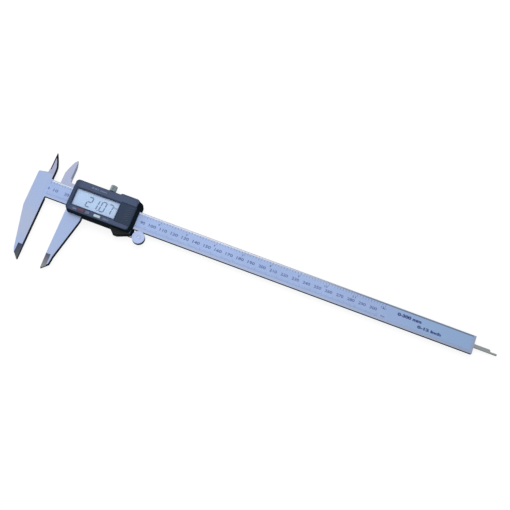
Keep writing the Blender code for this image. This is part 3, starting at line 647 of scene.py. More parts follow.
def prism_mesh(points, low, high, axis="Z"):
    work = bmesh.new()
    below = [work.verts.new((x * MM, y * MM, low * MM)) for x, y in points]
    above = [work.verts.new((x * MM, y * MM, high * MM)) for x, y in points]
    work.faces.new(below)
    work.faces.new(above)
    count = len(points)
    for i in range(count):
        j = (i + 1) % count
        work.faces.new((below[i], below[j], above[j], above[i]))
    bmesh.ops.recalc_face_normals(work, faces=work.faces)
    work.transform(TURN[axis])
    return work


def prism(points, low, high, axis="Z", name="tool"):
    return to_object(prism_mesh(points, low, high, axis), name)


def block(x_low, x_high, y_low, y_high, z_low, z_high, name="tool"):
    return prism(rect(x_low, x_high, y_low, y_high), z_low, z_high, name=name)


def cylinder(axis, across, up, radius, low, high, segments=40):
    """Cylinder along an axis; (across, up) is its centre in that axis's outline plane."""
    angles = [2 * math.pi * k / segments for k in range(segments)]
    points = [(across + radius * math.cos(t), up + radius * math.sin(t)) for t in angles]
    return prism(points, low, high, axis)


def loft(rings, name="tool"):
    """Closed body through rings of equal length, each a list of (x, y, z). Ends are capped."""
    work = bmesh.new()
    rows = [[work.verts.new(Vector(p) * MM) for p in ring] for ring in rings]
    count = len(rows[0])
    for lower, upper in zip(rows, rows[1:]):
        for i in range(count):
            j = (i + 1) % count
            work.faces.new((lower[i], lower[j], upper[j], upper[i]))
    work.faces.new(rows[0])
    work.faces.new(rows[-1])
    return to_object(work, name)


def sweep(line, section):
    """Closed body along a line in x and y; section is a list of (outward, z) offsets."""
    rows = []
    for i, (x, y) in enumerate(line):
        here = Vector((x, y))
        before = Vector(line[max(0, i - 1)])
        after = Vector(line[min(len(line) - 1, i + 1)])
        arriving = (here - before).normalized() if i else (after - here).normalized()
        leaving = (after - here).normalized() if i < len(line) - 1 else arriving
        along = (arriving + leaving).normalized()
        out = Vector((along.y, -along.x)) / max(0.3, along.dot(arriving))
        rows.append([(x + out.x * reach, y + out.y * reach, z) for reach, z in section])
    return loft(rows)


def turned(profile, name, segments=64, base=0.0, teeth=0, depth=0.0, knurl=(0.0, 0.0)):
    """Body turned about local Z from (radius, height) points, top to bottom, with height base
    laid at the origin. Between the two knurl heights the rim carries teeth of the given depth."""
    work = bmesh.new()
    rows = []
    for radius, height in profile:
        z = height - base
        if radius < 1e-6:
            rows.append([work.verts.new((0, 0, z * MM))])
            continue
        row = []
        for k in range(segments):
            angle = 2 * math.pi * k / segments
            notch = 0.0
            if teeth and knurl[0] - base <= z <= knurl[1] - base:
                phase = (angle * teeth / (2 * math.pi)) % 1.0
                notch = depth * (abs(2 * phase - 1) ** 1.4)
            reach = radius - notch
            at = (reach * math.cos(angle) * MM, reach * math.sin(angle) * MM, z * MM)
            row.append(work.verts.new(at))
        rows.append(row)
    for upper, lower in zip(rows, rows[1:]):
        for k in range(segments):
            m = (k + 1) % segments
            if len(upper) == 1 and len(lower) > 1:
                work.faces.new((upper[0], lower[k], lower[m]))
            elif len(lower) == 1 and len(upper) > 1:
                work.faces.new((upper[k], upper[m], lower[0]))
            elif len(upper) > 1:
                work.faces.new((upper[k], upper[m], lower[m], lower[k]))
    return to_object(work, name)


def bake(piece):
    """Apply the piece's modifiers."""
    graph = bpy.context.evaluated_depsgraph_get()
    graph.update()
    mesh = bpy.data.meshes.new_from_object(
        piece.evaluated_get(graph), preserve_all_data_layers=True, depsgraph=graph
    )
    piece.modifiers.clear()
    piece.data = mesh


def combine(piece, tools, operation):
    bpy.context.view_layer.update()
    for tool in tools:
        boolean = piece.modifiers.new("b", "BOOLEAN")
        boolean.operation = operation
        boolean.solver = "EXACT"
        boolean.object = tool
    bake(piece)
    for tool in tools:
        bpy.data.objects.remove(tool, do_unlink=True)


def cut(piece, *tools):
    combine(piece, tools, "DIFFERENCE")


def join(piece, *tools):
    combine(piece, tools, "UNION")


def clean(piece, distance=0.002):
    """Merge close vertices and dissolve flat faces after booleans."""
    with editing(piece) as work:
        bmesh.ops.remove_doubles(work, verts=work.verts, dist=distance * MM)
        bmesh.ops.dissolve_degenerate(work, edges=work.edges, dist=distance * MM)
        bmesh.ops.dissolve_limit(
            work, angle_limit=0.002, verts=work.verts, edges=work.edges, delimit={"MATERIAL"}
        )


def bevel(piece, width, segments=2, angle=40.0):
    edges = piece.modifiers.new("edges", "BEVEL")
    edges.width = width * MM
    edges.segments = segments
    edges.limit_method = "ANGLE"
    edges.angle_limit = math.radians(angle)
    edges.use_clamp_overlap = True
    edges.miter_outer = "MITER_ARC"
    bake(piece)


def split(piece, axis, at):
    """Divide faces along a plane without opening the body, so each side can be marked."""
    normal = Vector((0, 0, 0))
    normal[axis] = 1
    with editing(piece) as work:
        everything = work.verts[:] + work.edges[:] + work.faces[:]
        bmesh.ops.bisect_plane(
            work, geom=everything, dist=1e-7, plane_co=normal * (at * MM), plane_no=normal
        )


def mark(piece, index, test):
    """Give faces the material index where test(centre in mm, normal) is true."""
    for face in piece.data.polygons:
        if test(face.center / MM, face.normal):
            face.material_index = index


def place(piece, body, mats, node=None, smooth=32.0, centre=None, weighted=True):
    """Materials, shading, position in the row frame, body and the CAD node it replaces."""
    mesh = piece.data
    mats = mats if isinstance(mats, list) else [mats]
    marked = [min(face.material_index, len(mats) - 1) for face in mesh.polygons]
    mesh.materials.clear()
    for mat in mats:
        mesh.materials.append(mat)
    mesh.polygons.foreach_set("material_index", marked)
    if centre is None:
        mesh.transform(Matrix.Translation(ORIGIN))
    else:
        piece.location = ORIGIN + Vector(centre) * MM
    mesh.shade_smooth()
    mesh.set_sharp_from_angle(angle=math.radians(smooth))
    if weighted:
        normals = piece.modifiers.new("flat_faces_stay_flat", "WEIGHTED_NORMAL")
        normals.keep_sharp = True
        normals.weight = 80
    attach(piece, body)
    if node:
        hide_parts(node)


# ================================================================ flat graphics as thin solids
# A layer is (z of its underside, thickness).
def add_mesh(target, source):
    mesh = bpy.data.meshes.new("tmp")
    source.to_mesh(mesh)
    source.free()
    target.from_mesh(mesh)
    bpy.data.meshes.remove(mesh)


def flat(target, points, layer):
    add_mesh(target, prism_mesh(points, layer[0], layer[0] + layer[1]))


def bar(target, x_low, x_high, y_low, y_high, layer):
    flat(target, rect(x_low, x_high, y_low, y_high), layer)


def text(target, body, height, x, y, width, bold, anchor, layer):
    """Characters as closed bodies: x is their left, centre or right, y their middle."""
    curve = bpy.data.curves.new("t", "FONT")
    curve.body = body
    curve.size = 1.0
    curve.resolution_u = 3
    curve.offset = bold
    writing = bpy.data.objects.new("t", curve)
    SCENE.collection.objects.link(writing)
    bpy.context.view_layer.update()
    graph = bpy.context.evaluated_depsgraph_get()
    mesh = bpy.data.meshes.new_from_object(writing.evaluated_get(graph))
    bpy.data.objects.remove(writing, do_unlink=True)
    bpy.data.curves.remove(curve)
    work = bmesh.new()
    work.from_mesh(mesh)
    bpy.data.meshes.remove(mesh)
    bmesh.ops.remove_doubles(work, verts=work.verts, dist=1e-4)
    bmesh.ops.dissolve_degenerate(work, edges=work.edges, dist=1e-4)
    left, right = (pick(v.co.x for v in work.verts) for pick in (min, max))
    bottom, top = (pick(v.co.y for v in work.verts) for pick in (min, max))
    y_scale = height / (top - bottom)
    x_scale = width / (right - left) if width else y_scale
    from_x = {"C": (left + right) / 2, "L": left, "R": right}[anchor]
    from_y = (bottom + top) / 2
    for v in work.verts:
        flat_x = (v.co.x - from_x) * x_scale + x
        v.co = Vector((flat_x, (v.co.y - from_y) * y_scale + y, layer[0])) * MM
    bmesh.ops.recalc_face_normals(work, faces=work.faces)
    grown = bmesh.ops.extrude_face_region(work, geom=work.faces[:])["geom"]
    raised = [item for item in grown if isinstance(item, bmesh.types.BMVert)]
    bmesh.ops.translate(work, vec=Vector((0, 0, layer[1])) * MM, verts=raised)
    bmesh.ops.recalc_face_normals(work, faces=work.faces)
    add_mesh(target, work)


def printed(name, words, layer, body, mat):
    """Print rows of (characters, height, x, y, width, boldness, anchor)."""
    work = bmesh.new()
    for word in words:
        text(work, *word, layer)
    place(to_object(work, name), body, mat, weighted=False)


SEGMENTS = {"0": "abcdef", "1": "bc", "2": "abged", "7": "abc"}


def seven_segments(target, digit, mid_x, mid_y, width, height, thick, layer, lean, gap=0.12):
    """One seven-segment digit of bars with pointed ends; lean is its slope in x per y."""
    left, right = mid_x - width / 2 + thick / 2, mid_x + width / 2 - thick / 2
    top, bottom = mid_y + height / 2 - thick / 2, mid_y - height / 2 + thick / 2
    ends = {
        "a": (left, top, right, top), "b": (right, top, right, mid_y),
        "c": (right, mid_y, right, bottom), "d": (left, bottom, right, bottom),
        "e": (left, mid_y, left, bottom), "g": (left, mid_y, right, mid_y),
        "f": (left, top, left, mid_y),
    }
    half = thick / 2
    for segment in SEGMENTS[digit]:
        start, end = Vector(ends[segment][:2]), Vector(ends[segment][2:])
        along = (end - start).normalized()
        side = Vector((-along.y, along.x))
        start, end = start + along * gap, end - along * gap
        points = [
            start, start + along * half + side * half, end - along * half + side * half,
            end, end - along * half - side * half, start + along * half - side * half,
        ]
        flat(target, [(p.x + lean * (p.y - mid_y), p.y) for p in points], layer)


# ================================================================ beam with the fixed jaw
beam_low, _ = box_mm("beam_with_fixed_jaw")
TIP_Y = beam_low.y
LEFT = beam_low.x
BLADE_X = -6.3  # low-x edge of the fixed blade
JAW_POINT_Y = -53.5  # where the long jaws' fronts start sloping to their points
stop_low, stop_high = box_mm("end_stop_plate")
stop_x = centre_mm("end_stop_plate")[0]
STOP_SCREW_Y = 4.6
bed_low, bed_high = box_mm("scale_strip")


def jaw_point_cut(x_low, x_high):
    """Thins a long jaw's front towards its tip."""
    over = TIP_Y - 2
    points = [
        (JAW_POINT_Y, BEAM_T), (JAW_POINT_Y, BEAM_T - 0.35), (over, BEAM_T - 1.5),
        (over, BEAM_T + 1), (JAW_POINT_Y, BEAM_T + 1),
    ]
    return prism(points, x_low, x_high, "X")


def edge_wedge(x_edge, side, y_low, y_high, z_keep, z_face, width):
    """Slopes a blade's front over width, from z_face down to z_keep at its edge."""
    over = z_face + (z_face - z_keep)
    points = [
        (z_face, x_edge + side * width), (z_keep, x_edge), (z_keep, x_edge - side),
        (over, x_edge - side), (over, x_edge + side * width),
    ]
    return prism(points, y_low, y_high, "Y")


# Sloped jaw point faces, which take the painted shade.
def on_jaw_point(at, facing):
    return at.y < -53.4 and facing.z > 0.5 and at.z < 3.9 and facing.y < -0.02


# (x, y, corner radius): beam end, fixed blade, head, long jaw, relief nick under the beam
BEAM_OUTLINE = [
    (BEAM_END, -BEAM_HALF, 0.25), (BEAM_END, BEAM_HALF, 0.25), (0.15, BEAM_HALF),
    (0.15, 17.0, 6.0), (-0.1, 19.8, 6.0), (-1.8, 24.6, 8.0), (-5.0, 31.3, 2.0),
    (-5.95, BLADE_TIP_Y), (BLADE_X, 32.2), (BLADE_X, 13.4, 0.6), (LEFT + 0.6, 12.0), (LEFT, 11.4),
    (LEFT, -18.0, 14.0), (LEFT + 0.15, -21.2, 10.0), (-5.8, -59.0, 8.0), (-4.4, -62.2, 3.0),
    (-0.25, TIP_Y), (0.0, TIP_Y + 0.4), (0.0, -9.6), (-0.5, -9.2), (-0.5, -8.5),
    (0.0, -BEAM_HALF),
]
beam = prism(fillet(BEAM_OUTLINE, 4), 0.0, BEAM_T, name="beam_ground")
cut(
    beam,
    block(-20, 0.6, 8.15, 40, -1, 2.1),  # rear half of the fixed blade
    block(  # bed of the scale film
        bed_low.x - 0.005, bed_high.x + 0.005, bed_low.y - 0.06, bed_high.y + 0.03, 2.7, 5
    ),
    block(38.0, 390, -1.7, 1.7, -1, 1.9),  # groove of the depth rod
    *[cylinder("Z", stop_x, y, 0.9, -1, 2.2, 24) for y in (STOP_SCREW_Y, -STOP_SCREW_Y)],
)
cut(beam, jaw_point_cut(-4.2, 1.0), edge_wedge(BLADE_X, 1, 16.6, 40, 2.4, BEAM_T, 1.5))
clean(beam)
# Bevel down the fixed blade's +x flank.
cut(beam, sweep(
    [(0.15, 8.5), (0.15, 16.6), (-0.1, 19.8), (-1.8, 24.6), (-5.1, 31.5), (-6.2, 33.8)],
    [(2.0, 5.0), (2.0, 2.3), (0.0, 2.3), (-1.25, BEAM_T), (-1.25, 5.0)],
))
# Bevel along the fixed jaw's measuring face.
cut(beam, sweep(
    [(0.0, -9.3), (0.0, -69.0)],
    [(-1.5, 5.0), (-1.5, 3.45), (0.0, 3.45), (0.55, BEAM_T), (0.55, 5.0)],
))
for axis, at in ((X, 0.2), (X, bed_high.x + 0.1), (Y, 12.6)):
    split(beam, axis, at)
bevel(beam, 0.16, angle=30)


# Faces that take the painted highlight and shade of the edge strips.
def on_edge_strip(at, facing):
    beside_scale = at.y < bed_low.y or at.y > bed_high.y
    return 0.2 < at.x < bed_high.x and at.z > 3.5 and facing.z > 0.3 and beside_scale


# Side faces and bevels of the beam that take the painted shade.
def on_dark_flank(at, facing):
    blade = at.y > 8.4 and at.x < 0.4
    return (
        (blade and 0.25 < facing.z < 0.93 and at.z > 2.2)
        or (blade and facing.x > 0.5 and abs(facing.z) < 0.6)
        or (facing.z < 0.95 and at.y < -8.6 and at.x > -1.0 and facing.x > 0.5)
        or (facing.y < -0.3 and at.x > 0.2 and at.y < -7.5)
        or (facing.y > 0.5 and at.x > 0.2 and at.y > 7.5 and facing.z < 0.3)
    )


mark(beam, 1, on_jaw_point)
mark(beam, 2, lambda at, facing: at.y > 12.6 and at.x < 1)
mark(beam, 3, on_edge_strip)
mark(beam, 4, on_dark_flank)
place(
    beam, "beam",
    [steel_y, jaw_point_fixed, steel_blade_fixed, steel_edge_painted_light, steel_flank_painted_shade], "beam_with_fixed_jaw",
)

# ---------------------------------------------------------------- printed scale
strip = block(
    bed_low.x, bed_high.x, bed_low.y, bed_high.y, bed_low.z, bed_high.z, name="scale_film_strip"
)
place(strip, "beam", film, "scale_strip")
INK_Z = bed_high.z
INK = (INK_Z, 0.016)
INCH = 25.4
# A pale strip along the film's top edge, in the same painted highlight and shade.
margin_painted_highlight = block(
    0.3, bed_high.x, bed_high.y - 0.95, bed_high.y, INK_Z, INK_Z + 0.006, name="scale_film_margin_painted_highlight"
)
place(margin_painted_highlight, "beam", steel_edge_painted_light, weighted=False)

mm_marks = bmesh.new()
mm_foot = bed_low.y + 0.15
for k in range(0, 301):
    length = 2.55 if k % 10 == 0 else (2.0 if k % 5 == 0 else 1.35)
    wide = 0.15 if k % 10 else 0.18
    bar(mm_marks, k - wide / 2, k + wide / 2, mm_foot, mm_foot + length, INK)
inch_marks = bmesh.new()
inch_top = bed_high.y - 0.12
for k in range(0, 12 * 20 + 1):
    x = k * INCH / 20
    if k % 20 == 0:
        length, wide = 3.5, 0.27
    elif k % 2 == 0:
        length, wide = 3.1 if k % 10 == 0 else 2.5, 0.22
    else:
        length, wide = 3.1 if k % 10 == 0 else 0.9, 0.16
    bar(inch_marks, x - wide / 2, x + wide / 2, inch_top - length, inch_top, INK)
for unit, marks, mat in (("mm", mm_marks, scale_ink), ("inch", inch_marks, inch_ink)):
    graduations = to_object(marks, f"scale_graduations_{unit}")
    place(graduations, "beam", mat, weighted=False)


def tens_figure(k):
    label = str(k)
    return (label, 2.6, k - 1.35, -0.1, 2.15 * len(label), 0.022, "R")


def inch_figure(k):
    label = str(k)
    return (label, 1.9, k * INCH - 0.7, 3.2, 1.35 * len(label), 0.02, "R")


def scale_print(name, words, mat):
    printed(name, words, INK, "beam", mat)


tens = [tens_figure(k) for k in range(10, 301, 10)]
scale_print("scale_figures_mm", [("0", 2.5, 0.0, 0.0, None, 0.02, "C"), *tens], scale_ink)
units = [("in", 1.5, 303.6, 2.7, 2.6, 0.015, "L"), ("mm", 1.3, 303.0, -4.2, 3.8, 0.015, "L")]
scale_print("scale_figures_inch", [inch_figure(k) for k in range(1, 13)] + units, scale_ink)
scale_print("scale_range_marking", [
    ("0-300 mm", 3.0, 316.4, 2.65, 21.4, 0.065, "L"),
    ("0-12 inch", 2.7, 335.2, -2.0, 21.2, 0.065, "L"),
], end_ink)


# ---------------------------------------------------------------- screws
def driven_screw(name, node, body, head_z):
    """Cross-recess screw with its head at -z; head_z is the head's upper side."""
    low, high = box_mm(node)
    x, y, _ = centre_mm(node)
    head = (high.x - low.x) / 2
    shank = head * 0.46
    top = high.z
    profile = [(0, top), (shank * 0.8, top), (shank, top - 0.15)]
    turns = max(2, int((top - 0.15 - head_z - 0.25) / 0.4))
    for k in range(turns):  # thread as fine grooves
        z = top - 0.15 - (k + 0.5) * (top - 0.4 - head_z) / turns
        profile += [(shank, z + 0.10), (shank * 0.84, z), (shank, z - 0.10)]
    profile += [
        (shank, head_z), (head, head_z), (head, low.z + 0.16), (head - 0.05, low.z + 0.06),
        (head - 0.16, low.z), (0, low.z),
    ]
    screw = turned(profile, name, segments=40, base=low.z)
    reach, half, depth = 0.95, 0.17, 0.32  # recess: arm length, half width, depth
    cut(
        screw,
        block(-reach, reach, -half, half, -0.3, depth),
        block(-half, half, -reach, reach, -0.3, depth),
    )
    place(
        screw, body, dark_turned, node, smooth=40, centre=(x, y, low.z),
        weighted=False,
    )


HOUSING_SCREWS = [f"housing_screw_{i}" for i in range(1, 5)]
for name, node, body, head_z in (
    ("end_stop_screw_left", "end_stop_screw_1", "beam", -0.6),
    ("end_stop_screw_right", "end_stop_screw_2", "beam", -0.6),
    ("depth_rod_fixing_screw", "depth_rod_screw", "slider", -0.65),
    ("roller_bracket_screw", "bracket_screw", "slider", -1.1),
    *[(f"housing_fixing_screw_{node[-1]}", node, "slider", -0.4) for node in HOUSING_SCREWS],
):
    driven_screw(name, node, body, head_z)

stop = prism(
    rect(stop_low.x, stop_high.x, stop_low.y, stop_high.y, 0.6, 4), stop_low.z, stop_high.z,
    name="end_stop_block",
)
for y in (STOP_SCREW_Y, -STOP_SCREW_Y):
    cut(stop, cylinder("Z", stop_x, y, 1.0, -3, 1, 32))
    cut(stop, cylinder("Z", stop_x, y, 1.72, -3, -0.55, 40))
clean(stop)
bevel(stop, 0.12)
place(stop, "beam", steel_back, "end_stop_plate")

# ================================================================ slider frame with sliding jaw
slider_low, slider_high = box_mm("slider_frame")
FACE = slider_low.x + 14.4  # sliding measuring face
FRAME_X = 21.9  # low-x end of the frame's channel
blade_edge = BLADE_X + FACE
lock_low, lock_high = box_mm("lock_screw")
LOCK_X, _, LOCK_Z = centre_mm("lock_screw")
ROD_SCREW_X = centre_mm("depth_rod_screw")[0]
GIB_SCREWS = ((1, 34.0), (2, 69.0))  # (number, x of its hole)
SCREW_AT = [centre_mm(node)[:2] for node in HOUSING_SCREWS]

# (y, z) of the channel that wraps the beam's back
CHANNEL = [
    (-12.4, -1.2), (13.4, -1.2), (13.4, 4.2), (9.7, 4.2), (9.7, -0.15), (-8.1, -0.15),
    (-8.1, 4.2), (-12.4, 4.2),
]
# (x, y, corner radius)
JAW_OUTLINE = [
    (FACE, -8.7), (FACE, TIP_Y + 0.4), (FACE + 0.25, TIP_Y), (FACE + 5.7, -61.9, 0.6),
    (FACE + 6.6, -54.5, 5.0), (36.4, -18.0, 4.0), (36.5, -16.0), (36.5, -8.7),
]
BLADE_OUTLINE = [
    (26.0, 9.85), (26.0, 11.6), (blade_edge + 1.1, 11.6, 0.7), (blade_edge + 0.35, 12.1, 0.5),
    (blade_edge, 13.2), (blade_edge, 25.0, 8.0), (blade_edge - 0.5, 28.0, 6.0),
    (blade_edge - 1.4, 31.2, 1.0), (blade_edge - 2.0, BLADE_TIP_Y), (blade_edge - 2.8, 31.5, 1.0),
    (blade_edge - 4.0, 30.0, 2.0), (blade_edge - 5.4, 26.6, 6.0), (blade_edge - 6.9, 22.4, 6.0),
    (blade_edge - 8.1, 18.6, 5.0), (blade_edge - 8.1, 8.4), (23.4, 8.4), (23.4, 9.85),
]
slider = prism(CHANNEL, FRAME_X, slider_high.x, "X", name="slider_ground")
join(
    slider,
    prism(fillet(JAW_OUTLINE, 4), 0.0, BEAM_T),
    prism(fillet(BLADE_OUTLINE, 4), 0.02, 1.9),
)
cut(
    slider,
    jaw_point_cut(FACE - 1.0, FACE + 4.2),
    edge_wedge(blade_edge, -1, 15.0, 40, 0.9, 1.9, 1.3),
    cylinder("Y", 2.0, LOCK_X, 1.35, 9, 15, 32),
    *[cylinder("Y", 2.0, x, 1.1, 9, 15, 28) for _, x in GIB_SCREWS],
    cylinder("Z", ROD_SCREW_X, 0, 0.85, -2, 0.5, 28),
    cylinder("Z", ROD_SCREW_X, 0, 1.8, -2, -0.6, 36),
)
for x, y in SCREW_AT:
    cut(slider, cylinder("Z", x, y, 0.85, -2, 6, 28), cylinder("Z", x, y, 1.6, -2, -0.3, 36))
# Bevel along the sliding jaw's outer flank.
cut(slider, sweep(
    [(FACE + 0.2, TIP_Y - 0.8), (FACE + 5.75, -61.9), (FACE + 6.6, -54.5), (36.4, -18.2),
     (36.5, -8.9)],
    [(1.5, 5.0), (1.5, 3.45), (0.0, 3.45), (-0.55, BEAM_T), (-0.55, 5.0)],
))
clean(slider)
bevel(slider, 0.14, angle=30)


# Sloped edge faces of the sliding blade, which take the painted highlight.
def on_blade_edge(at, facing):
    return at.y > 11.5 and at.x > blade_edge - 1.6 and 0.4 < facing.z < 0.95


# Sloped outer flank of the sliding jaw, which takes the painted shade.
def on_jaw_flank(at, facing):
    below = at.y < -14.0 and at.x > FACE + 0.3 and at.z > 0.05
    return below and facing.z < 0.95 and facing.x > 0.35


mark(slider, 1, on_jaw_point)
mark(slider, 2, lambda at, facing: at.y > 8.2 and at.x < FRAME_X + 0.02)
mark(slider, 3, lambda at, facing: at.x > FRAME_X + 0.02 and at.y > -12.5)
mark(slider, 4, on_blade_edge)
mark(slider, 5, on_jaw_flank)
place(
    slider, "slider",
    [steel_y, jaw_point_sliding, steel_blade, steel_x, steel_blade_edge_painted_highlight, steel_flank_painted_shade],
    "slider_frame",
)

# ---------------------------------------------------------------- depth rod
rod_low, rod_high = box_mm("depth_rod")
rod_tip = rod_high.x
ROD_OUTLINE = [
    (rod_low.x, rod_low.y, 0.3), (rod_tip, rod_low.y, 0.1), (rod_tip, -0.1, 0.1),
    (rod_tip - 5.9, -0.1, 0.3), (rod_tip - 6.6, rod_high.y, 0.3), (rod_low.x, rod_high.y, 0.3),
]
rod = prism(fillet(ROD_OUTLINE, 3), rod_low.z, rod_high.z, name="depth_rod_ground")
cut(rod, cylinder("Z", ROD_SCREW_X, 0, 0.85, -1, 3, 28))
clean(rod)
bevel(rod, 0.10)
place(rod, "slider", steel_rod, "depth_rod")


# ---------------------------------------------------------------- gib and its screws
def rounded_block(name, node, body, mat, radius, segments=2):
    """A node's CAD box with rounded edges."""
    low, high = box_mm(node)
    piece = block(low.x, high.x, low.y, high.y, low.z, high.z, name=name)
    bevel(piece, radius, segments)
    place(piece, body, mat, node)


def gib_screw(number):
    """Headless set screw along y, slotted at its +y end."""
    node = f"gib_screw_{number}"
    low, high = box_mm(node)
    x, _, z = centre_mm(node)
    radius = (high.x - low.x) / 2
    length = high.y - low.y
    turns = int(length / 0.35)
    profile = [(0, high.y), (radius - 0.15, high.y), (radius, high.y - 0.15)]
    for k in range(1, turns):
        y = high.y - k * length / turns
        profile += [(radius, y + 0.09), (radius * 0.86, y), (radius, y - 0.09)]
    profile += [(radius, low.y + 0.15), (radius - 0.2, low.y), (0, low.y)]
    screw = turned(profile, f"gib_set_screw_{number}", segments=36, base=low.y)
    cut(screw, block(-2, 2, -0.22, 0.22, length - 0.6, 9))
    screw.data.transform(TURN["Y"])
    place(
        screw, "slider", dark_turned, node, smooth=40, centre=(x, low.y, z),
        weighted=False,
    )


rounded_block("gib_brass", "gib_strip", "gib", brass, 0.15)
for number, _ in GIB_SCREWS:
    gib_screw(number)

# ---------------------------------------------------------------- lock screw
NECK_Y = 16.0  # height of the screw's origin
KNURL_Y = 17.2  # lower end of the knurl
THREAD_Y, THREAD_PITCH = 15.4, 0.45
head = (lock_high.x - lock_low.x) / 2
top = lock_high.y
foot = lock_low.y
profile = [
    (0, top - 0.25), (1.1, top - 0.25), (1.35, top), (head - 0.55, top), (head - 0.3, top - 0.08),
    (head - 0.08, top - 0.3), (head, top - 0.5),
]
profile += [(head, top - 0.5 - (top - (KNURL_Y + 0.5)) * k / 10) for k in range(1, 11)]
profile += [
    (head - 0.08, 17.05), (head - 0.35, 16.8), (head - 0.9, 16.6), (2.0, 16.3), (2.0, 15.85),
    (1.85, 15.7), (1.25, 15.7),
]
k = 0
while THREAD_Y - THREAD_PITCH * k > foot + 0.6:
    y = THREAD_Y - THREAD_PITCH * k
    profile += [(1.25, y), (1.08, y - 0.2)]
    k += 1
profile += [(1.25, foot + 0.4), (0.9, foot), (0, foot)]
lock = turned(
    profile, "lock_screw_knurled", segments=144, base=NECK_Y, teeth=36, depth=0.17,
    knurl=(KNURL_Y, top - 0.45),
)
lock.data.transform(TURN["Y"])
place(
    lock, "lock_screw", lock_turned, "lock_screw", smooth=40,
    centre=(LOCK_X, NECK_Y, LOCK_Z), weighted=False,
)

# ---------------------------------------------------------------- thumb roller
roller_low, roller_high = box_mm("thumb_roller")
ROLLER = centre_mm("thumb_roller")[:2]
rim = (roller_high.x - roller_low.x) / 2
foot, top = roller_low.z, roller_high.z
profile = [
    (1.12, top - 0.08), (1.22, top), (1.9, top), (2.1, top - 0.07), (4.3, top - 0.07), (4.5, top),
    (rim - 0.22, top), (rim - 0.10, top - 0.03), (rim - 0.02, top - 0.12), (rim, top - 0.26),
]
profile += [(rim, top - 0.26 - (top - foot - 0.66) * k / 6) for k in range(1, 7)]
profile += [
    (rim - 0.05, foot + 0.22), (rim - 0.2, foot + 0.06), (rim - 0.4, foot), (1.3, foot),
    (1.12, foot + 0.12), (1.12, top - 0.08),
]
roller = turned(
    profile, "thumb_roller_knurled", segments=240, base=foot, teeth=60, depth=0.16,
    knurl=(foot + 0.35, top - 0.25),
)
with editing(roller) as work:  # close the bore where the profile meets itself
    bmesh.ops.remove_doubles(work, verts=work.verts, dist=1e-7)
    bmesh.ops.recalc_face_normals(work, faces=work.faces)
# The knurled side faces take the painted shade.
mark(roller, 1, lambda at, facing: abs(facing.z) < 0.5 and math.hypot(at.x, at.y) > rim - 0.5)
place(
    roller, "thumb_roller", [roller_turned, roller_rim_painted_shade], "thumb_roller",
    smooth=38, centre=(*ROLLER, foot), weighted=False,
)

# ---------------------------------------------------------------- roller pin and bracket
pin_low, pin_high = box_mm("roller_pin")
top = pin_high.z
profile = [
    (0, top), (0.80, top), (1.02, top - 0.05), (1.08, top - 0.12), (1.08, top - 0.6),
    (1.0, top - 0.7), (1.0, 0.02), (0.8, -0.1), (0.8, -1.1), (1.3, -1.15), (1.3, -1.45),
    (1.15, pin_low.z), (0, pin_low.z),
]
place(
    turned(profile, "roller_pin_riveted", segments=40), "slider", pin_turned,
    "roller_pin", smooth=35, centre=(*ROLLER, 0.0), weighted=False,
)

bracket_low, bracket_high = box_mm("roller_bracket")
BRACKET_SCREW = centre_mm("bracket_screw")[:2]
BRACKET_OUTLINE = [
    (65.6, -13.4, 1.0), (83.0, -13.4, 1.0), (84.4, -11.2, 1.0), (91.0, -11.2, 2.2),
    (91.0, -16.4, 2.6), (85.2, -16.4, 1.0), (83.6, -15.0, 0.8), (77.0, -15.0, 1.0),
    (73.4, -16.9, 1.0), (68.6, -16.9, 1.2),
]
bracket = prism(
    fillet(BRACKET_OUTLINE, 6), bracket_low.z, bracket_high.z, name="roller_spring_bracket"
)
cut(
    bracket,
    cylinder("Z", *BRACKET_SCREW, 0.9, -2, 1, 28),
    cylinder("Z", *ROLLER, 0.86, -2, 1, 28),
    prism(rect(76.5, 81.6, -14.45, -13.95, 0.24, 4), -2, 1),
)
clean(bracket)
bevel(bracket, 0.10)
place(bracket, "slider", spring, "roller_bracket")

# ================================================================ display housing
window_low, window_high = box_mm("display_window")
cover_low, cover_high = box_mm("battery_cover")
port_low, port_high = box_mm("data_port_cover")
CELL = centre_mm("button_cell")[:2]
HOUSING_Z = 12.5  # front of the housing
BASE = (21.4, 82.1, -14.4, 15.0)  # x low, x high, y low, y high at z = 0
FRONT = (21.6, 78.2, -13.2, 14.6)  # the same at the front
CORNERS = (3.0, 2.6, 3.3, 3.0)  # corner radii
WALL = 1.2
RIM = 1.1  # radius of the rounded front edge
BUTTONS = (
    ("power_button", red_plastic, "button_red"),
    ("units_button", grey_plastic, "button_grey"),
    ("zero_button", white_plastic, "button_white"),
)


def shell_ring(z, inset=0.0, radii=None, steps=9):
    """The housing's tapering outline at height z."""
    share = z / HOUSING_Z
    sides = [base + (front - base) * share for base, front in zip(BASE, FRONT)]
    left, right, bottom, top = (s + d for s, d in zip(sides, (inset, -inset, inset, -inset)))
    radii = radii or [max(0.4, radius - inset * 0.5) for radius in CORNERS]
    corners = ((left, bottom), (right, bottom), (right, top), (left, top))
    return level(fillet([(*at, radius) for at, radius in zip(corners, radii)], steps), z)


REST_OUTLINE = [
    (61.0, -10.4), (62.2, -14.2, 1.2), (66.6, -18.6, 1.8), (70.0, -18.6, 2.0),
    (80.6, -14.2, 1.0), (80.8, -10.4),
]


def rest_ring(z, inset, steps=7):
    """The thumb rest's outline; its edge inside the housing stays put."""
    return level(fillet(offset_outline(REST_OUTLINE, inset, still=(5,)), steps), z)


HUMP_X = 60.6
HUMP_FOOT = 2.5
HUMP_OUTLINE = [
    (HUMP_X, 12.2), (HUMP_X, 14.6, 0.9), (62.6, 16.05, 1.0), (81.6, 16.05, 3.2), (81.6, 12.2),
]


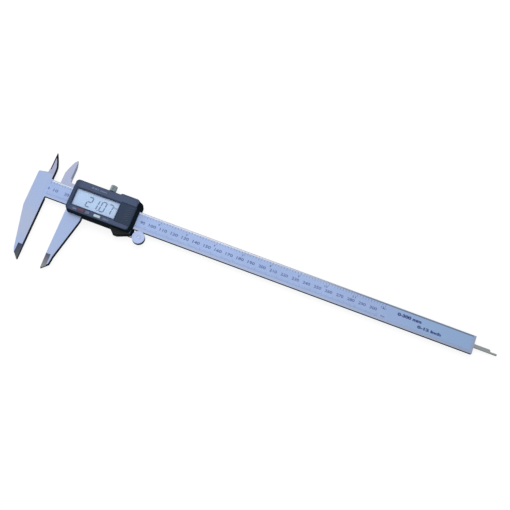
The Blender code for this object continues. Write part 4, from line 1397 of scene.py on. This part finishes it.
def hump_ring(z, inset):
    """Outline of the swelling on the +y side, drawn in towards the front."""
    lean = (z - HUMP_FOOT) / (12.0 - HUMP_FOOT)
    ring = fillet(offset_outline(HUMP_OUTLINE, inset, still=(4,)), 6)
    return [(HUMP_X + (x - HUMP_X) * (21.0 - 2.9 * lean) / 21.0, y - 0.12 * lean, z)
            for x, y in ring]


def button_sides(node):
    low, high = box_mm(node)
    return low.x + 0.35, high.x - 0.35, low.y, high.y


housing = loft(
    [shell_ring(0.0, 0.12), shell_ring(0.14), shell_ring(4.3), shell_ring(8.0)]
    + [shell_ring(HOUSING_Z - RIM + RIM * up, RIM * inward) for up, inward in quarter(6, 0)],
    name="housing_shell",
)
thumb_rest = loft(
    [rest_ring(z, inset) for z, inset in ((0.0, 0.12), (0.14, 0.0), (2.5, 0.0), (5.4, 0.12))]
    + [rest_ring(5.4 + 1.1 * up, 0.12 + inward) for up, inward in quarter(5)]
)
hump = loft(
    [hump_ring(z, 0.0) for z in (HUMP_FOOT, 6.0, 9.6, 11.2)]
    + [hump_ring(11.2 + 0.8 * up, 0.8 * inward) for up, inward in quarter(5)]
)
join(housing, thumb_rest)
join(housing, hump)

# Hollows of the shell and the thumb rest, open at the back.
cut(housing, loft([shell_ring(z, WALL, (1.0,) * 4, 4) for z in (-1.0, 10.4)]))
REST_HOLLOW = [
    (63.6, -12.0), (64.2, -13.5, 0.5), (67.4, -16.8, 1.0), (69.8, -17.0, 1.0),
    (78.2, -13.7, 0.6), (78.6, -12.0),
]
cut(housing, prism(fillet(REST_HOLLOW, 4), -1.0, 5.0))
cut(
    housing,
    block(10, 90, -8.4, 8.4, -2, 4.3),  # passage of the beam
    block(10, 36.7, -20, -8.0, -2, 4.3),  # over the jaw
    block(10, 24.0, 8.0, 13.6, -2, 4.3),  # over the blade
    block(
        cover_low.x - 0.1, 90, cover_low.y - 0.1, cover_high.y + 0.1, cover_low.z - 0.05, 14
    ),
)

# Window opening with a flared bezel.
open_left, open_right = window_low.x - 0.1, window_high.x + 0.1
open_bottom, open_top = window_low.y - 0.1, window_high.y + 0.1
opening = rect(open_left, open_right, open_bottom, open_top, 0.8)
flare = rect(open_left - 1.25, open_right + 0.42, open_bottom - 0.95, open_top + 1.25, 1.2)
cut(housing, loft(
    [level(opening, 8.0), level(opening, 11.95), level(flare, 12.52), level(flare, 14.0)]
))
cut(
    housing,
    cylinder("Z", *CELL, 6.1, 8, 14, 64),
    cylinder("Y", 2.0, LOCK_X, 1.7, 12, 18, 32),
    *[cylinder("Y", 2.0, x, 1.2, 12.5, 18, 28) for _, x in GIB_SCREWS],
    block(port_low.x - 0.1, 90, 14.95, 17, 4.4, 10.4),
    prism([(5.7, 66.6), (8.6, 66.6), (8.6, 73.4), (5.7, 73.4)], 12.5, 17, "Y"),
)
for node, _, _ in BUTTONS:
    left, right, bottom, top = button_sides(node)
    hole = rect(left - 0.15, right + 0.15, bottom - 0.15, top + 0.15, 0.5)
    cut(housing, prism(hole, 9.0, 14.0))

# Grip grooves, evenly spaced along the thumb rest's outer face.
REST_MIDDLE = Vector((71.8, -12.0))
GROOVES = 11
face = [Vector((x, y)) for x, y, _ in rest_ring(3.0, 0.0, 12)]
run = [pair for pair in zip(face, face[1:]) if pair[0].y < -12.9 and pair[1].y < -12.9]
total = sum((end - start).length for start, end in run)
for k in range(GROOVES):
    ahead = 2.2 + (total - 5.6) * k / (GROOVES - 1)
    for start, end in run:
        length = (end - start).length
        if ahead <= length:
            break
        ahead -= length
    along = (end - start).normalized()
    at = start + along * ahead
    out = Vector((along.y, -along.x))
    if (at + out - REST_MIDDLE).length < (at - REST_MIDDLE).length:
        out = -out
    root, mouth = at - out * 0.30, at + out * 0.6
    corners = [root + along * 0.16, root - along * 0.16, mouth - along * 0.42, mouth + along * 0.42]
    cut(housing, prism([(v.x, v.y) for v in corners], 0.8, 4.7))

# Screw bosses and their bores.
join(
    housing,
    *[cylinder("Z", x, y, 1.45, 5.6, 11.0, 32) for x, y in SCREW_AT],
    cylinder("Z", *BRACKET_SCREW, 1.7, 0.1, 5.3, 32),
)
cut(
    housing,
    *[cylinder("Z", x, y, 0.75, 4, 9.4, 28) for x, y in SCREW_AT],
    cylinder("Z", *BRACKET_SCREW, 0.85, -1, 4.4, 28),
)
clean(housing)


# Sloped bezel faces round the window, which take the painted shade.
def on_bezel(at, facing):
    return (
        0.45 < facing.z < 0.985 and 11.9 < at.z < 12.52
        and open_left - 1.3 < at.x < open_right + 0.5
        and open_bottom - 1.0 < at.y < open_top + 1.3
    )


mark(housing, 3, on_bezel)
# Faces turned away from the front take the painted shade.
mark(housing, 2, lambda at, facing: facing.z < 0.62 and at.z < HOUSING_Z - 0.3)
mark(housing, 1, lambda at, facing: at.y < -14.0 and at.z < 6.6 and at.x > 60)
place(
    housing, "slider",
    [shell_plastic, rest_plastic, side_plastic_painted_shade, bezel_plastic_painted_shade], "housing", smooth=28,
)
printed("housing_printing", [
    ("0.01 mm", 1.35, 43.2, 11.4, 13.2, 0.02, "C"),
    ("ON", 1.3, 29.9, -10.9, 3.3, 0.015, "C"),
    ("ZERO", 1.3, 57.8, -10.9, 5.2, 0.015, "C"),
], (HOUSING_Z, 0.02), "slider", label_ink)

# ---------------------------------------------------------------- window, liquid crystal cell
window = prism(
    rect(window_low.x, window_high.x, window_low.y, window_high.y, 0.7, 6),
    window_low.z, window_high.z, name="display_window_lens",
)
bevel(window, 0.14, segments=3)
place(window, "slider", window_clear, "display_window")
glass_low, glass_high = box_mm("lcd_glass")
glass = prism(
    rect(glass_low.x, glass_high.x, glass_low.y, glass_high.y, 0.3, 3),
    glass_low.z, glass_high.z, name="lcd_cell_glass",
)
bevel(glass, 0.12)
place(glass, "slider", lcd_ground, "lcd_glass")

LCD = (glass_high.z, 0.02)
DIGIT_Y, DIGIT_HEIGHT = -0.9, 9.8
reading = bmesh.new()
for digit, x in (("2", 38.9), ("1", 44.6), ("0", 51.2), ("7", 57.1)):
    seven_segments(
        reading, digit, x, DIGIT_Y, width=4.9, height=DIGIT_HEIGHT, thick=1.0, layer=LCD, lean=0.12
    )
digit_foot = DIGIT_Y - DIGIT_HEIGHT / 2
bar(reading, 47.2, 48.1, digit_foot, digit_foot + 0.9, LCD)
text(reading, "mm", 1.5, 61.5, 1.6, width=2.7, bold=0.01, anchor="C", layer=LCD)
place(to_object(reading, "lcd_reading"), "slider", lcd_ink, weighted=False)

# ---------------------------------------------------------------- buttons
CAP_ROUND = 0.42  # corner and top edge radius


def button(node, mat):
    """Cap with a rounded top edge and slight crown, on a wider foot."""
    left, right, bottom, top = button_sides(node)
    low, high = box_mm(node)
    shoulder_painted_shade = high.z - 0.45

    def ring(z, inset, radius):
        inner = rect(left + inset, right - inset, bottom + inset, top - inset, radius, 5)
        return level(inner, z)

    rings = [ring(9.9, 0.0, CAP_ROUND), ring(shoulder_painted_shade, 0.0, CAP_ROUND)]
    for up, inward in quarter(5):
        inset = CAP_ROUND * inward
        rings.append(ring(shoulder_painted_shade + 0.38 * up, inset, max(0.08, CAP_ROUND - inset * 0.8)))
    rings.append(ring(high.z, 0.95, 0.2))
    cap = loft(rings, name=node + "_cap")
    join(cap, block(low.x, high.x, bottom + 0.2, top - 0.1, low.z, 10.25))
    place(cap, node, mat, node, smooth=30)


for node, mat, slot in BUTTONS:
    button(node, mat)

# ---------------------------------------------------------------- battery cover
COVER_ROUND = 0.4
RIB_END = 0.46  # half width of a rib's foot
plate_top = cover_high.z - 0.22
plate_outline = [
    (cover_low.x, cover_low.y, 0.3), (cover_high.x, cover_low.y, 0.9),
    (cover_high.x, cover_high.y, 0.9), (cover_low.x, cover_high.y, 0.3),
]
plate_edge = plate_top - COVER_ROUND
plate_stations = [(cover_low.z, 0.06), (cover_low.z + 0.06, 0.0), (plate_edge, 0.0)]
plate_stations += [
    (plate_edge + COVER_ROUND * up, COVER_ROUND * inward) for up, inward in quarter(5)
]
cover = loft(
    [level(fillet(offset_outline(plate_outline, inset), 5), z) for z, inset in plate_stations],
    name="battery_cover_plate",
)
# (half width, depth below the cover's highest point) up a rib
RIB_STATIONS = ((RIB_END, 0.5), (RIB_END, 0.24), (0.36, 0.10), (0.22, 0.02), (0.10, 0.0))


def grip_rib(y):
    """Slanted rib with round ends."""
    start, end = Vector((70.6, y)), Vector((76.4, y + 1.7))
    along = (end - start).normalized()
    side = Vector((-along.y, along.x))
    rings = []
    for half, below in RIB_STATIONS:
        pull = along * (RIB_END - half)
        ring = []
        for centre, first in ((start + pull, math.pi / 2), (end - pull, -math.pi / 2)):
            for k in range(9):
                angle = first + math.pi * k / 8
                ring.append(centre + (along * math.cos(angle) + side * math.sin(angle)) * half)
        rings.append([(p.x, p.y, cover_high.z - below) for p in ring])
    return loft(rings)


join(cover, *[grip_rib(-6.6 + k * 1.95) for k in range(7)])
clean(cover, 0.001)
# Rib tops take the painted highlight.
mark(cover, 1, lambda at, facing: at.z > cover_high.z - 0.12)
place(
    cover, "battery_cover", [cover_plastic, rib_tops_highlight_and_wear], "battery_cover",
    smooth=35,
)

# ---------------------------------------------------------------- port cover
lid = rect(port_low.x, port_high.x, port_low.z, port_high.z, 0.5, 4)
port = prism(
    [(z, x) for x, z in lid], port_low.y, port_high.y - 0.15, "Y", name="data_port_lid"
)
bevel(port, 0.12)
ridge_low, ridge_high = port_low.z + 1.3, port_high.z - 1.3
ridges = []
for x in (73.2, 74.2, 75.2):
    outline = [(ridge_low, x), (ridge_low, x + 0.45), (ridge_high, x + 0.45), (ridge_high, x)]
    ridges.append(prism(outline, port_high.y - 0.4, port_high.y, "Y"))
join(port, *ridges)
clean(port, 0.001)
place(port, "data_port_cover", cover_plastic, "data_port_cover", smooth=35)

# ---------------------------------------------------------------- back cover
back_low, back_high = box_mm("back_cover")
BACK_MARGIN = 1.1  # rim around the shallow recess
back = prism(
    rect(back_low.x, back_high.x, back_low.y, back_high.y, 1.0, 6), back_low.z, back_high.z,
    name="back_cover_sheet",
)
recess = rect(
    back_low.x + BACK_MARGIN, back_high.x - BACK_MARGIN,
    back_low.y + BACK_MARGIN, back_high.y - BACK_MARGIN, 0.6, 5,
)
cut(back, prism(recess, back_low.z - 1, back_low.z + 0.06))
clean(back)
bevel(back, 0.05, segments=1)
place(back, "slider", steel_back, "back_cover")

# ---------------------------------------------------------------- inside the housing
for name, node, mat, slot, radius, segments in (
    ("controller_chip_potted", "controller_chip", chip_epoxy, "black_component", 0.35, 4),
    ("zebra_strip_upper", "contact_strip_upper", strip_rubber, "rubber", 0.1, 2),
    ("zebra_strip_lower", "contact_strip_lower", strip_rubber, "rubber", 0.1, 2),
    ("reflector_sheet", "lcd_reflector", silver, "silver_film", 0.03, 1),
    ("key_pad_sheet", "key_pad", pad_rubber, "rubber", 0.25, 3),
):
    rounded_block(name, node, "slider", mat, radius, segments)

for node in ("power_switch", "units_switch", "zero_switch"):
    low, high = box_mm(node)
    can = block(low.x, high.x, low.y, high.y, low.z, high.z - 0.5, name=node + "_can")
    bevel(can, 0.12)
    plunger = cylinder("Z", *centre_mm(node)[:2], 0.8, high.z - 0.7, high.z, 28)
    bevel(plunger, 0.08)
    join(can, plunger)
    place(can, "slider", chip_epoxy, node)

CELL_FOOT = 5.85
top = box_mm("button_cell")[1].z
profile = [
    (0, top), (3.9, top), (4.0, top - 0.04), (4.1, top), (5.35, top), (5.65, top - 0.08),
    (5.8, top - 0.3), (5.8, 7.0), (5.72, 6.6), (5.4, 6.35), (5.2, 6.3), (5.15, 6.1), (5.0, 6.05),
    (4.95, 5.9), (4.8, CELL_FOOT), (0, CELL_FOOT),
]
place(
    turned(profile, "button_cell_can", segments=96, base=CELL_FOOT), "slider",
    cell_can, "button_cell", smooth=40, centre=(*CELL, CELL_FOOT), weighted=False,
)

# CAD pieces that keep their mesh and only take a material.
for name, mat, slot in (
    ("scale_board", board, "circuit_board"),
    ("sensor_board", board, "circuit_board"),
    ("lcd_holder", holder_plastic, "holder_plastic"),
    ("battery_contact_minus", spring, "spring_steel"),
    ("battery_contact_plus", spring, "spring_steel"),
    ("data_port_contacts", chip_epoxy, "black_component"),
):
    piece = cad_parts[name]
    piece.data.materials.clear()
    piece.data.materials.append(mat)
    for polygon in piece.data.polygons:
        polygon.material_index = 0


# ================================================================ floor
def white_floor():
    """Glowing white paper, invisible from below."""
    tree = new_material("floor_paper")
    tone = tree.mix(tree.noise(scale=9.0), (0.925, 0.925, 0.925), (0.945, 0.945, 0.945))
    paper = tree.node("ShaderNodeBsdfDiffuse", {"Color": tone}).outputs[0]
    gone = tree.node("ShaderNodeBsdfTransparent").outputs[0]
    below = tree.node("ShaderNodeNewGeometry").outputs["Backfacing"]
    light = {"Color": (1.0, 1.0, 1.0, 1.0), "Strength": 1.0}
    glow = tree.node("ShaderNodeEmission", light).outputs[0]
    glow_share = 0.80
    bright = tree.node("ShaderNodeMixShader", {0: glow_share, 1: paper, 2: glow}).outputs[0]
    return tree.finish(tree.node("ShaderNodeMixShader", {0: below, 1: bright, 2: gone}))


work = bmesh.new()
bmesh.ops.create_grid(work, x_segments=2, y_segments=2, size=6.0)
floor = to_object(work, "floor")
if any(polygon.normal.z < 0 for polygon in floor.data.polygons):
    floor.data.flip_normals()
floor.location = (0.2, 0.0, CAD_LOW.z - 0.00005)
floor.data.materials.append(white_floor())
floor.visible_glossy = False
floor.visible_diffuse = False

# ================================================================ world
# (position, grey): position 0 is straight down, 0.5 the horizon, 1 straight up
GLOSSY_SKY = (
    (0.0, 0.075), (0.25, 0.080), (0.42, 0.13), (0.51, 0.34), (0.60, 0.56), (0.80, 0.92), (1.0, 1.0),
)
DIFFUSE_SKY = ((0.0, 0.85), (0.30, 0.60), (0.50, 0.50), (0.62, 0.80), (0.78, 1.0), (1.0, 1.05))
world = bpy.data.worlds.new("studio")
SCENE.world = world
tree = Tree(world)
direction = tree.node("ShaderNodeTexCoord").outputs["Generated"]
axes = tree.node("ShaderNodeSeparateXYZ", {0: direction}).outputs


def sky(stops):
    return tree.ramp(tree.math("MULTIPLY_ADD", axes[2], 0.5, 0.5), stops)


# Reflections are darker towards +x.
side = tree.remap(axes[0], low=0.06, high=0.28, to_low=1.0, to_high=0.53, smooth=True)
glossy = tree.node(
    "ShaderNodeVectorMath", {0: sky(GLOSSY_SKY), "Scale": side}, operation="SCALE"
).outputs["Vector"]
path = tree.node("ShaderNodeLightPath").outputs
tone = tree.mix(path["Is Diffuse Ray"], (1.0, 1.0, 1.0), sky(DIFFUSE_SKY))
tone = tree.mix(path["Is Glossy Ray"], tone, glossy)
background = tree.node("ShaderNodeBackground", {"Color": tone, "Strength": 1.0})
tree.finish(background, "ShaderNodeOutputWorld")

# ================================================================ light and camera
softbox = bpy.data.lights.new("softbox", "AREA")
softbox.shape = "RECTANGLE"
softbox.size = 0.9
softbox.size_y = 0.7
softbox.energy = 5.0
key = bpy.data.objects.new("softbox", softbox)
SCENE.collection.objects.link(key)
key.location = ORIGIN + Vector((-60.0, 420.0, 900.0)) * MM
key_aim = ORIGIN + Vector((170.0, -10.0, 0.0)) * MM
key.rotation_euler = (key_aim - key.location).to_track_quat("-Z", "Y").to_euler()
key.visible_glossy = False

CAMERA_AT = Vector((212.5687, -165.7153, 662.8483))
# Turn from looking straight down -z: direction is the axis, length the angle in radians.
CAMERA_TURN = Vector((0.26128286, -0.00721092, 0.35654025))
lens = bpy.data.cameras.new("camera")
lens.sensor_width = 36.0
lens.lens = 56.470588
lens.clip_start = 0.01
lens.clip_end = 20.0
camera = bpy.data.objects.new("camera", lens)
SCENE.collection.objects.link(camera)
rotation = Matrix.Rotation(CAMERA_TURN.length, 4, CAMERA_TURN.normalized())
camera.matrix_world = Matrix.Translation(ORIGIN + CAMERA_AT * MM) @ rotation
SCENE.camera = camera

SCENE.view_settings.view_transform = "Standard"
SCENE.view_settings.look = "None"
SCENE.view_settings.exposure = 0.0
SCENE.view_settings.gamma = 1.0

bpy.context.view_layer.update()
